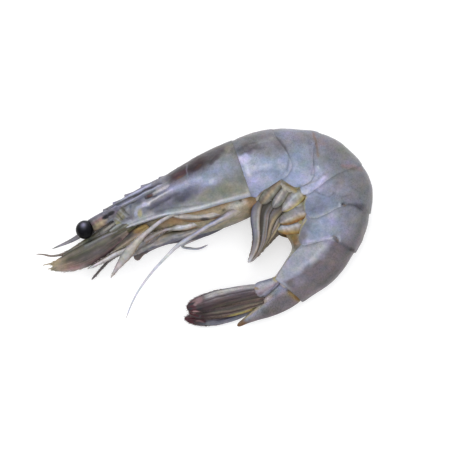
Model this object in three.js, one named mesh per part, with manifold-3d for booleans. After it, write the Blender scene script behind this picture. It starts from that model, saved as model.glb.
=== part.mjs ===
// A raw whole tiger prawn: carapace with its toothed rostrum, stalked eyes, feelers, walking legs, six
// abdominal shell plates over the flesh, five pairs of swimmerets, telson and folded tail fan.
// It lies on its right side with the tail curled under, so the animal's left side faces +Z, its head points
// to -X and its back to +Y. Millimetres. The origin is under the middle of the whole prawn's outline.
import * as THREE from "three";
import { mergeVertices } from "three/addons/utils/BufferGeometryUtils.js";
import Module from "manifold-3d";

const wasm = await Module();
wasm.setup();

// ---------------------------------------------------------------- driving dimensions

const SHELL = 0.6; // thickness of an abdominal plate
const CARAPACE_SHELL = 0.7;
const GAP = 0.3; // clearance between neighbouring pieces
const SHINGLE = 0.45; // how far a plate's rear edge stands out, and its front edge tucks in
const FLESH_INSET = SHINGLE + SHELL + GAP; // flesh surface below the body's mean surface
const REST_SINK = 0.25; // how much of the right side is flattened where it lies
const SIDE_BREAK = 0.62; // share of a flank's run from the back down to its widest line
const WIDEST = -0.1; // height of the widest line, from -1 at the flank's lower edge to 1 at the back
const EDGE_TUCK = 0.2; // how much narrower a flank is at its lower edge than at its widest

// Stations down the body, brow to tail joint. back and edge are the ends of the section seen from the side,
// halfWidth its half width, crest how squarely the back is arched (2 is round, less is keeled), belly how far
// the underside hangs below the flank's edge and keel how sharply the belly narrows.
const STATIONS = [
  { back: [-32.0, 6.2], edge: [-27.3, -1.3], halfWidth: 4.6, crest: 1.35, belly: 4.2, keel: 1.9 },
  { back: [-24.3, 10.7], edge: [-22.1, 0.7], halfWidth: 5.9, crest: 1.45, belly: 5.3, keel: 1.9 },
  { back: [-14.7, 15.8], edge: [-13.6, 3.3], halfWidth: 7.6, crest: 1.6, belly: 6.3, keel: 1.7 },
  { back: [-5.1, 21.6], edge: [-2.9, 5.2], halfWidth: 8.9, crest: 1.8, belly: 7.3, keel: 1.3 },
  { back: [2.2, 25.4], edge: [6.4, 7.8], halfWidth: 9.4, crest: 2.0, belly: 7.3, keel: 0.9 },
  { back: [8.3, 28.0], edge: [14.4, 9.9], halfWidth: 9.2, crest: 2.1, belly: 5.3, keel: 0.6 },
  { back: [14.7, 30.2], edge: [18.6, 11.9], halfWidth: 9.0, crest: 2.2, belly: 0.8, keel: 0.5 },
  { back: [21.4, 31.6], edge: [23.4, 14.1], halfWidth: 8.9, crest: 2.2, belly: 0.6, keel: 0.5 },
  { back: [28.8, 31.5], edge: [26.9, 13.3], halfWidth: 8.8, crest: 2.2, belly: 0.8, keel: 0.5 },
  { back: [36.2, 30.5], edge: [29.2, 12.0], halfWidth: 8.7, crest: 2.2, belly: 1.2, keel: 0.5 },
  { back: [43.8, 26.6], edge: [30.2, 10.8], halfWidth: 8.6, crest: 2.2, belly: 1.6, keel: 0.5 },
  { back: [50.1, 20.0], edge: [30.8, 9.2], halfWidth: 8.4, crest: 2.2, belly: 1.8, keel: 0.5 },
  { back: [53.0, 12.6], edge: [30.9, 7.0], halfWidth: 8.1, crest: 2.2, belly: 2.0, keel: 0.5 },
  { back: [52.5, 4.3], edge: [30.6, 3.8], halfWidth: 7.7, crest: 2.2, belly: 2.6, keel: 0.6 },
  { back: [50.7, -2.1], edge: [29.6, -1.4], halfWidth: 7.2, crest: 2.1, belly: 4.2, keel: 0.8 },
  { back: [47.7, -8.2], edge: [28.3, -6.4], halfWidth: 6.6, crest: 2.0, belly: 0.8, keel: 0.7 },
  { back: [40.6, -17.1], edge: [25.3, -11.4], halfWidth: 5.6, crest: 1.9, belly: 0.2, keel: 0.6 },
  { back: [31.0, -23.2], edge: [22.1, -16.5], halfWidth: 4.3, crest: 1.8, belly: 0.4, keel: 0.6 },
];
const CARAPACE_END = 5; // station of the carapace's rear edge
const TAIL_JOINT = 17; // station of the sixth plate's rear edge

// Rear edge of each shell: its station, then bulges of the edge along the flank. Each bulge has the place u
// it is at (0 on the back, 1 at the lower edge), its reach in stations (back +, forward -) and its spread.
const REAR_EDGES = [
  { station: CARAPACE_END, bulges: [] },
  { station: 7, bulges: [{ u: 0.72, reach: 0.95, spread: 0.25 }] },
  { station: 9, bulges: [{ u: 0.78, reach: 0.95, spread: 0.18 }] },
  { station: 11, bulges: [{ u: 0.6, reach: -0.25, spread: 0.3 }] },
  {
    station: 13,
    bulges: [{ u: 0.48, reach: -0.5, spread: 0.2 }, { u: 0.85, reach: 0.22, spread: 0.16 }],
  },
  { station: 15, bulges: [{ u: 0.6, reach: -0.55, spread: 0.25 }] },
  { station: TAIL_JOINT, bulges: [] },
];
// Where a plate's first rows lie, in stations past the rear edge of the shell ahead, and how far each has
// risen from tucked in (0) to standing out (1). The first row runs in under the shell ahead.
const FRONT_ROWS = [
  { past: -0.4, risen: 0 },
  { past: 0.05, risen: 0 },
  { past: 0.4, risen: 0.5 },
  { past: 0.9, risen: 1 },
];
const PLATE_ROWS = 6;

const ROSTRUM = {
  // upper edge of the blade, from the back of the carapace to the tip
  ridge: [[-12.5, 16.75], [-17.9, 14.3], [-26.0, 9.7], [-34.9, 3.4], [-41.6, -2.6], [-49.4, -6.9]],
  depth: [0.9, 0.9, 1.0, 2.2, 1.4, 0.15],
  thickness: 1.1,
  teeth: 8,
  toothHeight: 0.55,
};

const EYE = { centre: [-38.6, -0.7], out: 6.0, radius: 2.75 };

// ---------------------------------------------------------------- small mathematics

const clamp01 = (x) => Math.min(1, Math.max(0, x));
const lerp = (a, b, x) => a + (b - a) * x;
const smooth = (a, b, x) => {
  const s = clamp01((x - a) / (b - a));
  return s * s * (3 - 2 * s);
};
const degrees = (a) => (a * Math.PI) / 180;

// Smooth value at position t of an evenly spaced list (Catmull-Rom, run on straight past the ends).
function along(values, t) {
  const last = values.length - 1;
  const i = Math.min(last - 1, Math.max(0, Math.floor(t)));
  const x = t - i;
  const b = values[i];
  const c = values[i + 1];
  const a = i > 0 ? values[i - 1] : 2 * b - c;
  const d = i + 2 <= last ? values[i + 2] : 2 * c - b;
  return b + 0.5 * x * (c - a + x * (2 * a - 5 * b + 4 * c - d + x * (3 * (b - c) + d - a)));
}
const station = (read, t) => along(STATIONS.map(read), t);

// ---------------------------------------------------------------- the body's surface

// Height of the mid plane above the table: the right side of every plate reaches the table.
function midPlane(t) {
  const widest = station((s) => s.halfWidth, Math.max(t, CARAPACE_END));
  return widest + SHINGLE - REST_SINK;
}

// The section at station t: its back, its flank's lower edge, the way up and its depth.
function section(t) {
  const back = new THREE.Vector2(station((s) => s.back[0], t), station((s) => s.back[1], t));
  const edge = new THREE.Vector2(station((s) => s.edge[0], t), station((s) => s.edge[1], t));
  const up = back.clone().sub(edge);
  const depth = up.length();
  return { edge, up: up.divideScalar(depth), depth, halfWidth: station((s) => s.halfWidth, t) };
}

// Height (-1 to 1) and relative half width of the flank at u, from 0 on the back to 1 at its lower edge.
function arch(t, u) {
  if (u < SIDE_BREAK) {
    const angle = (u / SIDE_BREAK) * (Math.PI / 2);
    const power = 2 / station((s) => s.crest, t);
    return {
      height: WIDEST + (1 - WIDEST) * Math.cos(angle) ** power,
      width: Math.sin(angle) ** power,
    };
  }
  const down = (u - SIDE_BREAK) / (1 - SIDE_BREAK);
  return { height: WIDEST - (1 + WIDEST) * down, width: 1 - EDGE_TUCK * down * down };
}

// A point of the body's surface at station t. around runs from -1 at the right flank's lower edge over the
// back at 0 to 1 at the left one, and past 1 under the belly to 2 at its middle. lift is outwards.
function bodyPoint(t, around, lift) {
  const s = section(t);
  const side = Math.sign(around);
  const u = Math.min(1, Math.abs(around));
  const a = arch(t, u);
  const backShare = Math.max(0, (a.height - WIDEST) / (1 - WIDEST));
  let height = ((a.height + 1) / 2) * s.depth + lift * backShare;
  let out = (s.halfWidth + lift) * a.width;
  const under = Math.abs(around) - 1;
  if (under > 0) {
    const drop = station((x) => x.belly, t) + Math.max(0, lift + FLESH_INSET);
    const angle = (under * Math.PI) / 2;
    height = -drop * Math.sin(angle);
    out *= Math.cos(angle) ** (1 + station((x) => x.keel, t));
  }
  const point = s.edge.clone().addScaledVector(s.up, height);
  return new THREE.Vector3(point.x, point.y, Math.max(0, midPlane(t) + side * out));
}

// ---------------------------------------------------------------- solids

// A closed geometry as a solid, its faces turned outwards.
function solid(geometry) {
  geometry.deleteAttribute("normal");
  geometry.deleteAttribute("uv");
  const merged = mergeVertices(geometry, 1e-4);
  const triVerts = new Uint32Array(merged.index.array);
  const make = () =>
    new wasm.Manifold(
      new wasm.Mesh({ numProp: 3, vertProperties: merged.attributes.position.array, triVerts }),
    );
  const made = make();
  if (made.volume() > 0) return made;
  for (let i = 0; i < triVerts.length; i += 3) {
    [triVerts[i + 1], triVerts[i + 2]] = [triVerts[i + 2], triVerts[i + 1]];
  }
  return make();
}

// The largest body of a solid, without the scraps that a cut leaves.
const largest = (made) => made.decompose().sort((a, b) => b.volume() - a.volume())[0];

// A sheet with a thickness: place(x, y, outside) bends a box of x rows by y rows, both from 0 to 1.
function sheet(rowsX, rowsY, place) {
  const box = new THREE.BoxGeometry(1, 1, 1, rowsX, rowsY, 1);
  const p = box.attributes.position;
  for (let i = 0; i < p.count; i++) {
    const x = Math.round((p.getX(i) + 0.5) * rowsX) / rowsX;
    const y = Math.round((p.getY(i) + 0.5) * rowsY) / rowsY;
    const point = place(x, y, p.getZ(i) > 0);
    p.setXYZ(i, point.x, point.y, point.z);
  }
  return solid(box);
}

// A closed skin of rings: place(ring, turn) gives a point, ring from 0 to 1 and turn once round from 0 to 1.
// The first and last rings are closed flat at their own middles.
function rings(sides, count, place, middle) {
  const ball = new THREE.SphereGeometry(1, sides, count + 1);
  const p = ball.attributes.position;
  for (let i = 0; i < p.count; i++) {
    const row = Math.floor(i / (sides + 1));
    const turn = (i % (sides + 1)) % sides;
    const ring = (Math.min(count, Math.max(1, row)) - 1) / (count - 1);
    const point = row === 0 || row === count + 1 ? middle(ring) : place(ring, turn / sides);
    p.setXYZ(i, point.x, point.y, point.z);
  }
  return solid(ball);
}

// A limb of oval section on a smooth route of [x, y, out] points. out is to the left of a plane that stands
// at height plane at the root and tipPlane at the tip. widths are the limb's breadths seen from the side
// and thicks its thicknesses, both spread evenly down the route.
function limb({ route, widths, thicks, sides = 8, steps = 10, plane = HEAD_PLANE, tipPlane = plane }) {
  const height = (k) => lerp(plane, tipPlane, k / (route.length - 1));
  const curve = new THREE.CatmullRomCurve3(
    route.map(([x, y, out], k) => new THREE.Vector3(x, y, height(k) + out)),
    false,
    "centripetal",
  );
  const at = (share) => curve.getPointAt(share);
  const place = (share, turn) => {
    const tangent = curve.getTangentAt(share);
    const flat = new THREE.Vector3(0, 0, 1).addScaledVector(tangent, -tangent.z).normalize();
    const broad = new THREE.Vector3().crossVectors(flat, tangent);
    const angle = turn * 2 * Math.PI;
    const breadth = along(widths, share * (widths.length - 1)) / 2;
    const depth = along(thicks, share * (thicks.length - 1)) / 2;
    const point = at(share)
      .addScaledVector(broad, breadth * Math.cos(angle))
      .addScaledVector(flat, depth * Math.sin(angle));
    point.z = Math.max(0, point.z);
    return point;
  };
  return rings(sides, steps, place, at);
}
const HEAD_PLANE = midPlane(0);
const mirrored = (route) => route.map(([x, y, out]) => [x, y, -out]);

// The joints of a limb: its root, then links of [length, heading in degrees, step outwards].
function joints(root, links) {
  const points = [root];
  for (const [length, heading, out = 0] of links) {
    const [x, y, z] = points.at(-1);
    const turn = degrees(heading);
    points.push([x + length * Math.cos(turn), y + length * Math.sin(turn), z + out]);
  }
  return points;
}

// ---------------------------------------------------------------- carapace, plates and flesh

// The rear edge of shell number i at a place around the body.
function rearEdge(i, around) {
  const { station: at, bulges } = REAR_EDGES[i];
  const bulge = ({ u, reach, spread }) => reach * Math.exp(-(((Math.abs(around) - u) / spread) ** 2));
  return bulges.reduce((sum, facts) => sum + bulge(facts), at);
}

// How far the carapace's front edge is cut back: an orbit above, a spine below it, and a sloping cheek.
function frontEdge(u) {
  const orbit = 0.5 * Math.exp(-(((u - 0.3) / 0.13) ** 2));
  const spine = -0.25 * Math.exp(-(((u - 0.55) / 0.06) ** 2));
  return 0.05 + orbit + spine + 0.12 * smooth(0.7, 1, u);
}

function carapaceShell(thickness, growth) {
  const place = (x, y, outside) => {
    const spread = 2 * y - 1;
    const u = 1 - (1 - Math.abs(spread)) ** 1.25; // closer rows towards the lower edge
    const around = Math.sign(spread) * u;
    const t = lerp(frontEdge(u) - growth / 5, rearEdge(0, around) + growth / 5, x);
    const rim = 0.35 * Math.exp(-(((1 - u) / 0.05) ** 2));
    const lift = SHINGLE * smooth(2.5, 5, t) + (outside ? rim + growth : -thickness - growth);
    return bodyPoint(t, around, lift);
  };
  return sheet(15, 24, place);
}

// The blade of the rostrum, with forward pointing teeth along its upper edge.
function rostrumBlade(growth) {
  const ridge = new THREE.CatmullRomCurve3(ROSTRUM.ridge.map(([x, y]) => new THREE.Vector3(x, y, 0)));
  const upper = [];
  const lower = [];
  const steps = ROSTRUM.teeth * 4;
  for (let i = 0; i <= steps; i++) {
    const share = i / steps;
    const point = ridge.getPointAt(share);
    const tangent = ridge.getTangentAt(share);
    const normal = new THREE.Vector2(tangent.y, -tangent.x); // up, as the route runs to -x
    const phase = (share * ROSTRUM.teeth) % 1;
    const tooth = share < 0.75 ? ROSTRUM.toothHeight * phase * phase : 0;
    const depth = along(ROSTRUM.depth, share * (ROSTRUM.depth.length - 1));
    const rise = tooth + growth;
    const fall = depth + growth;
    upper.push(new THREE.Vector2(point.x + normal.x * rise, point.y + normal.y * rise));
    lower.unshift(new THREE.Vector2(point.x - normal.x * fall, point.y - normal.y * fall));
  }
  const thickness = ROSTRUM.thickness + 2 * growth;
  const blade = new THREE.ExtrudeGeometry(new THREE.Shape([...upper, ...lower]), {
    depth: thickness,
    bevelEnabled: false,
  });
  blade.translate(0, 0, HEAD_PLANE - thickness / 2);
  return solid(blade);
}

// The flesh from station t0 to t1, a closed body that hangs a little below the plates.
function flesh(t0, t1, count, growth) {
  const place = (ring, turn) => {
    const around = turn <= 0.5 ? turn * 4 : (turn - 1) * 4;
    return bodyPoint(lerp(t0, t1, ring), around, growth - FLESH_INSET);
  };
  const middle = (ring) => {
    const top = place(ring, 0);
    return top.add(place(ring, 0.5)).multiplyScalar(0.5);
  };
  return rings(18, count, place, middle);
}

// Abdominal plate number i, 1 to 6: a saddle over back and flanks with rounded lower lobes.
function plate(i) {
  const place = (x, y, outside) => {
    const reach = 1 - 0.08 * (1 - x) ** 3 - 0.11 * x ** 7;
    const around = (2 * y - 1) * (i === 6 ? 1 : reach);
    const start = rearEdge(i - 1, around);
    const row = Math.round(x * PLATE_ROWS);
    const front = FRONT_ROWS[row] ?? FRONT_ROWS.at(-1);
    const rest = Math.max(0, row + 1 - FRONT_ROWS.length) / (PLATE_ROWS + 1 - FRONT_ROWS.length);
    const t = lerp(start + front.past, rearEdge(i, around), rest);
    const lift = lerp(-SHINGLE, SHINGLE, front.risen) - (outside ? 0 : SHELL);
    return bodyPoint(t, around, lift);
  };
  return sheet(PLATE_ROWS, 18, place);
}

// ---------------------------------------------------------------- eyes, feelers and scales

const eyeball = (side, growth) => {
  const ball = new THREE.SphereGeometry(EYE.radius + growth, 14, 10);
  ball.translate(EYE.centre[0], EYE.centre[1], HEAD_PLANE + side * EYE.out);
  return solid(ball);
};

const eyestalk = {
  route: [[-28.4, 4.4, 2.4], [-32.6, 2.5, 3.4], [-36.4, 0.4, 5.2]],
  widths: [3.4, 3.7, 3.6],
  thicks: [2.2, 2.6, 3.0],
  steps: 5,
};

const antennule = {
  route: joints([-25.3, 1.9, 2.6], [[6.6, 209], [8.5, 209, 0.2], [8.2, 206, 0.2]]),
  widths: [3.2, 3.1, 2.7, 2.0, 1.0],
  thicks: [2.2, 2.0, 1.6, 0.9],
};
const feelerEnd = { widths: [0.9, 0.6, 0.3], thicks: [0.7, 0.5, 0.3], sides: 6, steps: 7 };
const feelerEnds = [
  { ...feelerEnd, route: joints([-44.9, -8.5, 2.9], [[4.4, 189], [2.9, 171], [2.2, 176]]) },
  { ...feelerEnd, route: joints([-44.4, -8.9, 2.5], [[4.4, 209], [4.0, 195]]) },
];
const antennalScale = {
  route: joints([-22.6, -2.0, 4.8], [[9.4, 206, 0.2], [9.8, 204, -0.3], [10.4, 199, -0.3]]),
  widths: [3.6, 5.2, 6.0, 6.0, 5.2, 3.4, 0.4],
  thicks: [1.6, 1.2, 0.9, 0.7],
};

// ---------------------------------------------------------------- legs

// Each left leg: its route of [x, y, out] joints from the thorax to the claw, and its breadth along it.
const LEGS = {
  maxilliped: {
    route: joints(
      [-11.5, 3.6, 1.2],
      [[7.6, 213, 1.0], [5.8, 214, 0.2], [4.5, 201], [7.6, 202], [5.5, 212]],
    ),
    widths: [1.9, 1.8, 1.6, 1.7, 1.6, 1.2, 0.4],
  },
  leg_1: {
    route: [
      [-5.6, 6.2, 3.0], [-9.4, 4.6, 5.4], [-14.1, 2.1, 7.2], [-17.6, -0.6, 7.2], [-20.8, -3.5, 7.2],
      [-23.7, -6.9, 7.2], [-26.2, -10.1, 7.1], [-28.2, -12.8, 7.0], [-30.3, -16.1, 6.9],
    ],
    widths: [1.2, 1.2, 1.3, 1.9, 2.9, 3.0, 2.4, 1.5, 0.4],
  },
  leg_2: {
    route: joints(
      [5.0, 3.4, 1.6],
      [[5.4, 194, 2.2], [6.5, 189, 0.2], [6.7, 197], [7.6, 213], [6.4, 221], [7.0, 223]],
    ),
    widths: [1.6, 1.6, 2.0, 1.8, 2.3, 2.6, 2.0, 0.5],
  },
  leg_3: {
    route: joints([5.6, 1.8, 1.0], [[4.2, 199, 1.2], [7.6, 202, 0.2], [6.5, 191], [6.8, 199], [6.0, 207]]),
    widths: [1.8, 2.2, 2.2, 1.9, 1.6, 0.6],
  },
  leg_4: {
    route: joints([10.0, 5.8, 3.4], [[5.2, 197, 2.0], [6.3, 195, 0.2], [5.8, 180], [2.4, 193]]),
    widths: [1.8, 2.0, 1.8, 2.0, 0.7],
  },
  leg_5: {
    route: [
      [14.6, 9.0, 4.2], [11.0, 6.2, 6.4], [8.3, 4.4, 7.2], [4.8, 2.4, 7.2], [1.6, 0.2, 7.2],
      [-1.6, -2.4, 7.2], [-5.2, -4.6, 7.1], [-9.0, -6.0, 6.9], [-12.9, -9.4, 5.9], [-16.4, -13.6, 4.3],
      [-19.4, -18.0, 2.4], [-21.5, -21.8, 0.8], [-23.3, -25.8, -0.8], [-25.2, -29.6, -2.4],
    ],
    widths: [2.0, 2.3, 1.9, 1.7, 1.7, 1.4, 0.9, 0.65, 0.55, 0.4],
    steps: 16,
  },
};
const LEG_THICKNESS = [1.2, 1.2, 1.1, 0.9, 0.7, 0.5];

// The right legs, those folded another way than their left mates.
const RIGHT_LEGS = {
  ...LEGS,
  leg_1: {
    route: joints([-7.6, 5.2, 3.0], [[4.8, 212, 3.4], [10.4, 219, 0.8], [6.8, 211], [6.4, 210], [8.6, 227]]),
    widths: [1.3, 1.6, 1.4, 1.2, 0.9, 0.7],
  },
  leg_3: {
    route: joints([5.6, 1.8, 1.0], [[6.6, 201, 1.4], [7.8, 195], [6.7, 200], [5.2, 206]]),
    widths: [1.8, 2.2, 2.0, 1.8, 1.0],
  },
  leg_4: {
    route: joints([10.0, 5.8, 3.4], [[8.2, 206, 2.2], [8.8, 205], [8.6, 201], [8.0, 205], [2.8, 250]]),
    widths: [1.8, 2.0, 1.8, 1.9, 2.2, 2.6, 2.4, 1.8],
  },
  leg_5: {
    route: joints(
      [14.6, 9.2, 4.2],
      [[5.0, 220, 2.6], [11.0, 219, 0.4], [10.8, 206], [3.2, 339], [2.6, 3], [2.8, 24]],
    ),
    widths: [2.0, 2.0, 1.9, 1.3, 0.7, 0.6, 0.4],
    steps: 16,
  },
};

// ---------------------------------------------------------------- swimmerets

const BLADE_PLANE = midPlane(10); // the left and right blades lie at equal heights from it

// Each left swimmeret: a stout base from the belly, and the long blade that hangs from it.
const SWIMMERETS = [
  {
    base: { route: [[25.0, 16.6, 4.0], [21.8, 11.9, 4.6], [18.0, 7.2, 5.0]], widths: [3.4, 4.0, 2.2] },
    blade: {
      route: [[18.3, 8.4, 5.0], [15.9, 4.0, 5.0], [15.1, -0.6, 5.0], [15.6, -5.0, 5.0], [13.8, -11.0, 5.0]],
      widths: [2.0, 2.9, 3.2, 2.4, 0.4],
    },
  },
  {
    base: { route: [[28.0, 15.8, 3.2], [25.0, 11.0, 3.7], [21.4, 6.2, 4.0]], widths: [2.6, 3.4, 2.2] },
    blade: {
      route: [[21.8, 7.2, 4.0], [19.2, 2.8, 4.0], [18.4, -2.2, 4.0], [16.6, -6.8, 4.0], [14.0, -10.6, 4.0]],
      widths: [1.8, 2.7, 3.0, 2.2, 0.5],
    },
  },
  {
    base: { route: [[31.6, 12.4, 2.8], [28.4, 9.0, 2.9], [24.8, 5.6, 3.05]], widths: [2.4, 3.2, 2.0] },
    blade: {
      route: [
        [25.2, 6.2, 3.05], [22.2, 2.4, 3.05], [20.2, -1.8, 3.05], [18.0, -5.8, 3.05], [14.8, -9.6, 3.05],
      ],
      widths: [1.7, 2.6, 2.7, 2.0, 0.5],
    },
  },
  {
    base: { route: [[33.0, 6.2, 2.4], [29.0, 4.8, 2.3], [24.6, 2.6, 2.05]], widths: [2.4, 3.0, 2.2] },
    blade: {
      route: [[25.2, 3.0, 2.05], [22.0, 0.0, 2.05], [19.4, -4.2, 2.05], [16.0, -8.4, 2.05]],
      widths: [1.6, 2.4, 2.2, 0.5],
    },
  },
  {
    base: { route: [[32.4, 1.2, 2.0], [28.4, 0.6, 1.7], [24.0, -0.3, 1.1]], widths: [2.4, 2.9, 1.9] },
    blade: {
      route: [[24.6, -0.2, 1.1], [22.0, -2.2, 1.1], [19.8, -5.0, 1.1], [17.6, -7.6, 1.1]],
      widths: [1.5, 2.0, 1.9, 0.5],
    },
  },
];
const BASE_THICKNESS = [1.6, 1.4, 0.8];
const HANGING_THICKNESS = [0.5, 0.5, 0.5, 0.4];

// ---------------------------------------------------------------- tail fan

const TAIL_PLANE = midPlane(TAIL_JOINT);
const TELSON = {
  route: joints([27.9, -20.2, 0], [[6.9, 214], [7.2, 212], [7.0, 213]]),
  widths: [5.6, 5.4, 4.6, 3.4, 2.0, 0.5],
  thicks: [4.6, 4.0, 2.6, 1.2, 0.5],
};
const FAN_BASE = {
  plane: TAIL_PLANE,
  steps: 5,
  route: joints([21.6, -17.9, 2.3], [[5.0, 205, 0.2]]),
  widths: [3.4, 5.0, 4.4],
  thicks: [1.8, 2.4, 1.8],
};
const FAN_BLADES = {
  outer_left: {
    route: joints([16.0, -20.1, 2.4], [[7.0, 190], [8.2, 193, -0.1], [8.0, 198, -0.2]]),
    widths: [2.6, 4.4, 5.0, 4.9, 4.0, 1.2],
  },
  inner_left: {
    route: joints([17.4, -23.2, 0.95], [[7.2, 193], [8.2, 191], [7.2, 182]]),
    widths: [2.4, 3.6, 4.2, 4.0, 3.0, 1.0],
  },
  inner_right: {
    route: joints([17.2, -23.4, -0.75], [[7.2, 194], [8.0, 190], [6.6, 183]]),
    widths: [2.4, 3.6, 4.2, 4.0, 3.0, 1.0],
  },
  outer_right: {
    route: joints([16.0, -25.0, -2.2], [[9.2, 199], [7.5, 190], [6.1, 177]]),
    widths: [2.2, 3.4, 3.8, 3.8, 3.2, 1.2],
  },
};
const BLADE_THICKNESS = [1.3, 1.1, 1.0, 0.7];

// ---------------------------------------------------------------- materials

const material = (color, roughness) =>
  new THREE.MeshStandardMaterial({ color, roughness, metalness: 0 });
const MATERIALS = {
  shell: material("#84889a", 0.35),
  tail: material("#6d6468", 0.4),
  flesh: material("#b08c4a", 0.5),
  limb: material("#b3a79f", 0.4),
  feeler: material("#77705a", 0.45),
  eye: material("#101014", 0.12),
};

// ---------------------------------------------------------------- the prawn

const prawn = new THREE.Group();

function add(name, made, look) {
  const { vertProperties, triVerts } = made.getMesh();
  const geometry = new THREE.BufferGeometry();
  geometry.setAttribute("position", new THREE.BufferAttribute(Float32Array.from(vertProperties), 3));
  geometry.setIndex(new THREE.BufferAttribute(Uint32Array.from(triVerts), 1));
  geometry.computeVertexNormals();
  const mesh = new THREE.Mesh(geometry, MATERIALS[look]);
  mesh.name = name;
  prawn.add(mesh);
}
const cut = (made, ...cutters) => largest(cutters.reduce((whole, cutter) => whole.subtract(cutter), made));

const THORAX_SPAN = [0.75, 4.9];
const ABDOMEN_SPAN = [5.0, 17.25];
const thoraxRoom = flesh(THORAX_SPAN[0] - 0.05, THORAX_SPAN[1] + 0.03, 11, GAP);
const abdomenRoom = flesh(ABDOMEN_SPAN[0] - 0.03, ABDOMEN_SPAN[1] + 0.06, 22, GAP);
const carapaceRoom = carapaceShell(CARAPACE_SHELL, GAP);

add("carapace", largest(carapaceShell(CARAPACE_SHELL, 0).add(rostrumBlade(0))), "shell");
add("thorax", cut(flesh(...THORAX_SPAN, 11, 0), rostrumBlade(GAP)), "flesh");
add("abdomen_flesh", flesh(...ABDOMEN_SPAN, 22, 0), "flesh");
for (let i = 1; i < REAR_EDGES.length; i++) add("plate_" + i, plate(i), "shell");

for (const [name, side] of [["left", 1], ["right", -1]]) {
  const sided = (facts) => ({ ...facts, route: side > 0 ? facts.route : mirrored(facts.route) });
  add("eye_" + name, eyeball(side, 0), "eye");
  const stalk = limb(sided(eyestalk));
  add("eyestalk_" + name, cut(stalk, eyeball(side, GAP), thoraxRoom, carapaceRoom), "limb");
  const feeler = feelerEnds.reduce((whole, end) => whole.add(limb(sided(end))), limb(sided(antennule)));
  add("antennule_" + name, cut(feeler, thoraxRoom, carapaceRoom), "feeler");
  const scale = limb({ ...sided(antennalScale), sides: 10, steps: 12 });
  add("antennal_scale_" + name, cut(scale, thoraxRoom, carapaceRoom), "feeler");

  for (const [leg, facts] of Object.entries(side > 0 ? LEGS : RIGHT_LEGS)) {
    const made = limb({ thicks: LEG_THICKNESS, sides: 6, steps: 12, ...sided(facts) });
    add(leg + "_" + name, cut(made, thoraxRoom, carapaceRoom), "limb");
  }

  SWIMMERETS.forEach(({ base, blade }, i) => {
    const planes = { plane: midPlane(7 + 2 * i), tipPlane: BLADE_PLANE };
    const stout = limb({ ...sided(base), ...planes, thicks: BASE_THICKNESS, sides: 6, steps: 4 });
    const hanging = limb({
      ...sided(blade),
      plane: BLADE_PLANE,
      thicks: HANGING_THICKNESS,
      sides: 6,
      steps: 8,
    });
    add("swimmeret_" + (i + 1) + "_" + name, cut(stout.add(hanging), abdomenRoom), "limb");
  });

  add("fan_base_" + name, cut(limb(sided(FAN_BASE)), abdomenRoom), "tail");
}
add("telson", cut(limb({ ...TELSON, plane: TAIL_PLANE, sides: 10 }), abdomenRoom), "shell");
for (const [name, facts] of Object.entries(FAN_BLADES)) {
  const blade = limb({ ...facts, plane: TAIL_PLANE, thicks: BLADE_THICKNESS, sides: 10 });
  add("fan_blade_" + name, blade, "tail");
}

const outline = new THREE.Box3().setFromObject(prawn);
const centre = outline.getCenter(new THREE.Vector3());
prawn.position.set(-centre.x, -centre.y, -outline.min.z);

export default prawn;
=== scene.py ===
"""A raw whole tiger prawn lying on its right side: wet shell, limbs, tail fan, eye and the stage they lie on."""

import math
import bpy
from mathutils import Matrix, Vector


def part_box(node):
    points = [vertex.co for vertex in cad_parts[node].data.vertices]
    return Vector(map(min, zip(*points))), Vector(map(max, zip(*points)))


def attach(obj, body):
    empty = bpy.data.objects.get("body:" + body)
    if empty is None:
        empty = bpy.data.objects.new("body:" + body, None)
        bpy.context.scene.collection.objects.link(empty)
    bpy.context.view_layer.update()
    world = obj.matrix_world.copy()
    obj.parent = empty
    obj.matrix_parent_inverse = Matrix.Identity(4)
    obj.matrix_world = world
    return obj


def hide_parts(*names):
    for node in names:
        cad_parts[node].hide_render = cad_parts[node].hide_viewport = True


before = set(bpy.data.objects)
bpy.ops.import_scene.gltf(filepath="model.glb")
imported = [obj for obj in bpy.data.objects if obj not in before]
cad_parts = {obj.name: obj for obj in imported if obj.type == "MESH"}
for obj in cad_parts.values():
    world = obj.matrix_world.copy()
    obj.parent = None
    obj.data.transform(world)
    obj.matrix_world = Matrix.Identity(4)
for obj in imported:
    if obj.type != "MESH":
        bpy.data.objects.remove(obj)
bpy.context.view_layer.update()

from types import SimpleNamespace

import bpy
import numpy as np

bl_info = {
    "name": "Raw tiger prawn",
    "version": (1, 0, 0),
    "blender": (4, 5, 0),
    "location": "3D View > Sidebar > Prawn",
    "description": "Models the shell, limbs and finish of a raw whole prawn",
    "category": "Add Mesh",
}

MM = 0.001

# ------------------------------------------------------------------ body plan, in millimetres

REAR_RISE = 0.06  # how far a plate's rear edge stands out
FRONT_TUCK = 0.22  # how far its front edge tucks under the plate before
FLESH_INSET = 1.35  # membrane below the body's mean surface
FRONT_LAP = -0.5  # where its front edge lies, in stations from the rear edge of the plate before
REST_LIFT = 0.2  # mid plane's height above the half width, so that the right side is a little flattened
SIDE_BREAK = 0.62  # place on the flank where the back's curve turns into the side's
WIDEST = -0.1  # height of the widest place, from -1 at the flank's edge to 1 at the back
EDGE_TUCK = 0.2  # how much narrower the flank's edge is than the widest place
ROOT_ROUND = 0.02  # share of a limb's length over which its root is rounded
BRISTLE_RADIUS = 0.07
SMOOTH_ANGLE = math.radians(50)  # edges sharper than this stay sharp
LINE_DRIFT = 0.1  # how far a painted line strays from its corners
PATCH_DRIFT = 0.35  # and a soft patch's edge from its ellipse
WATER_IOR = 1.33

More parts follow.
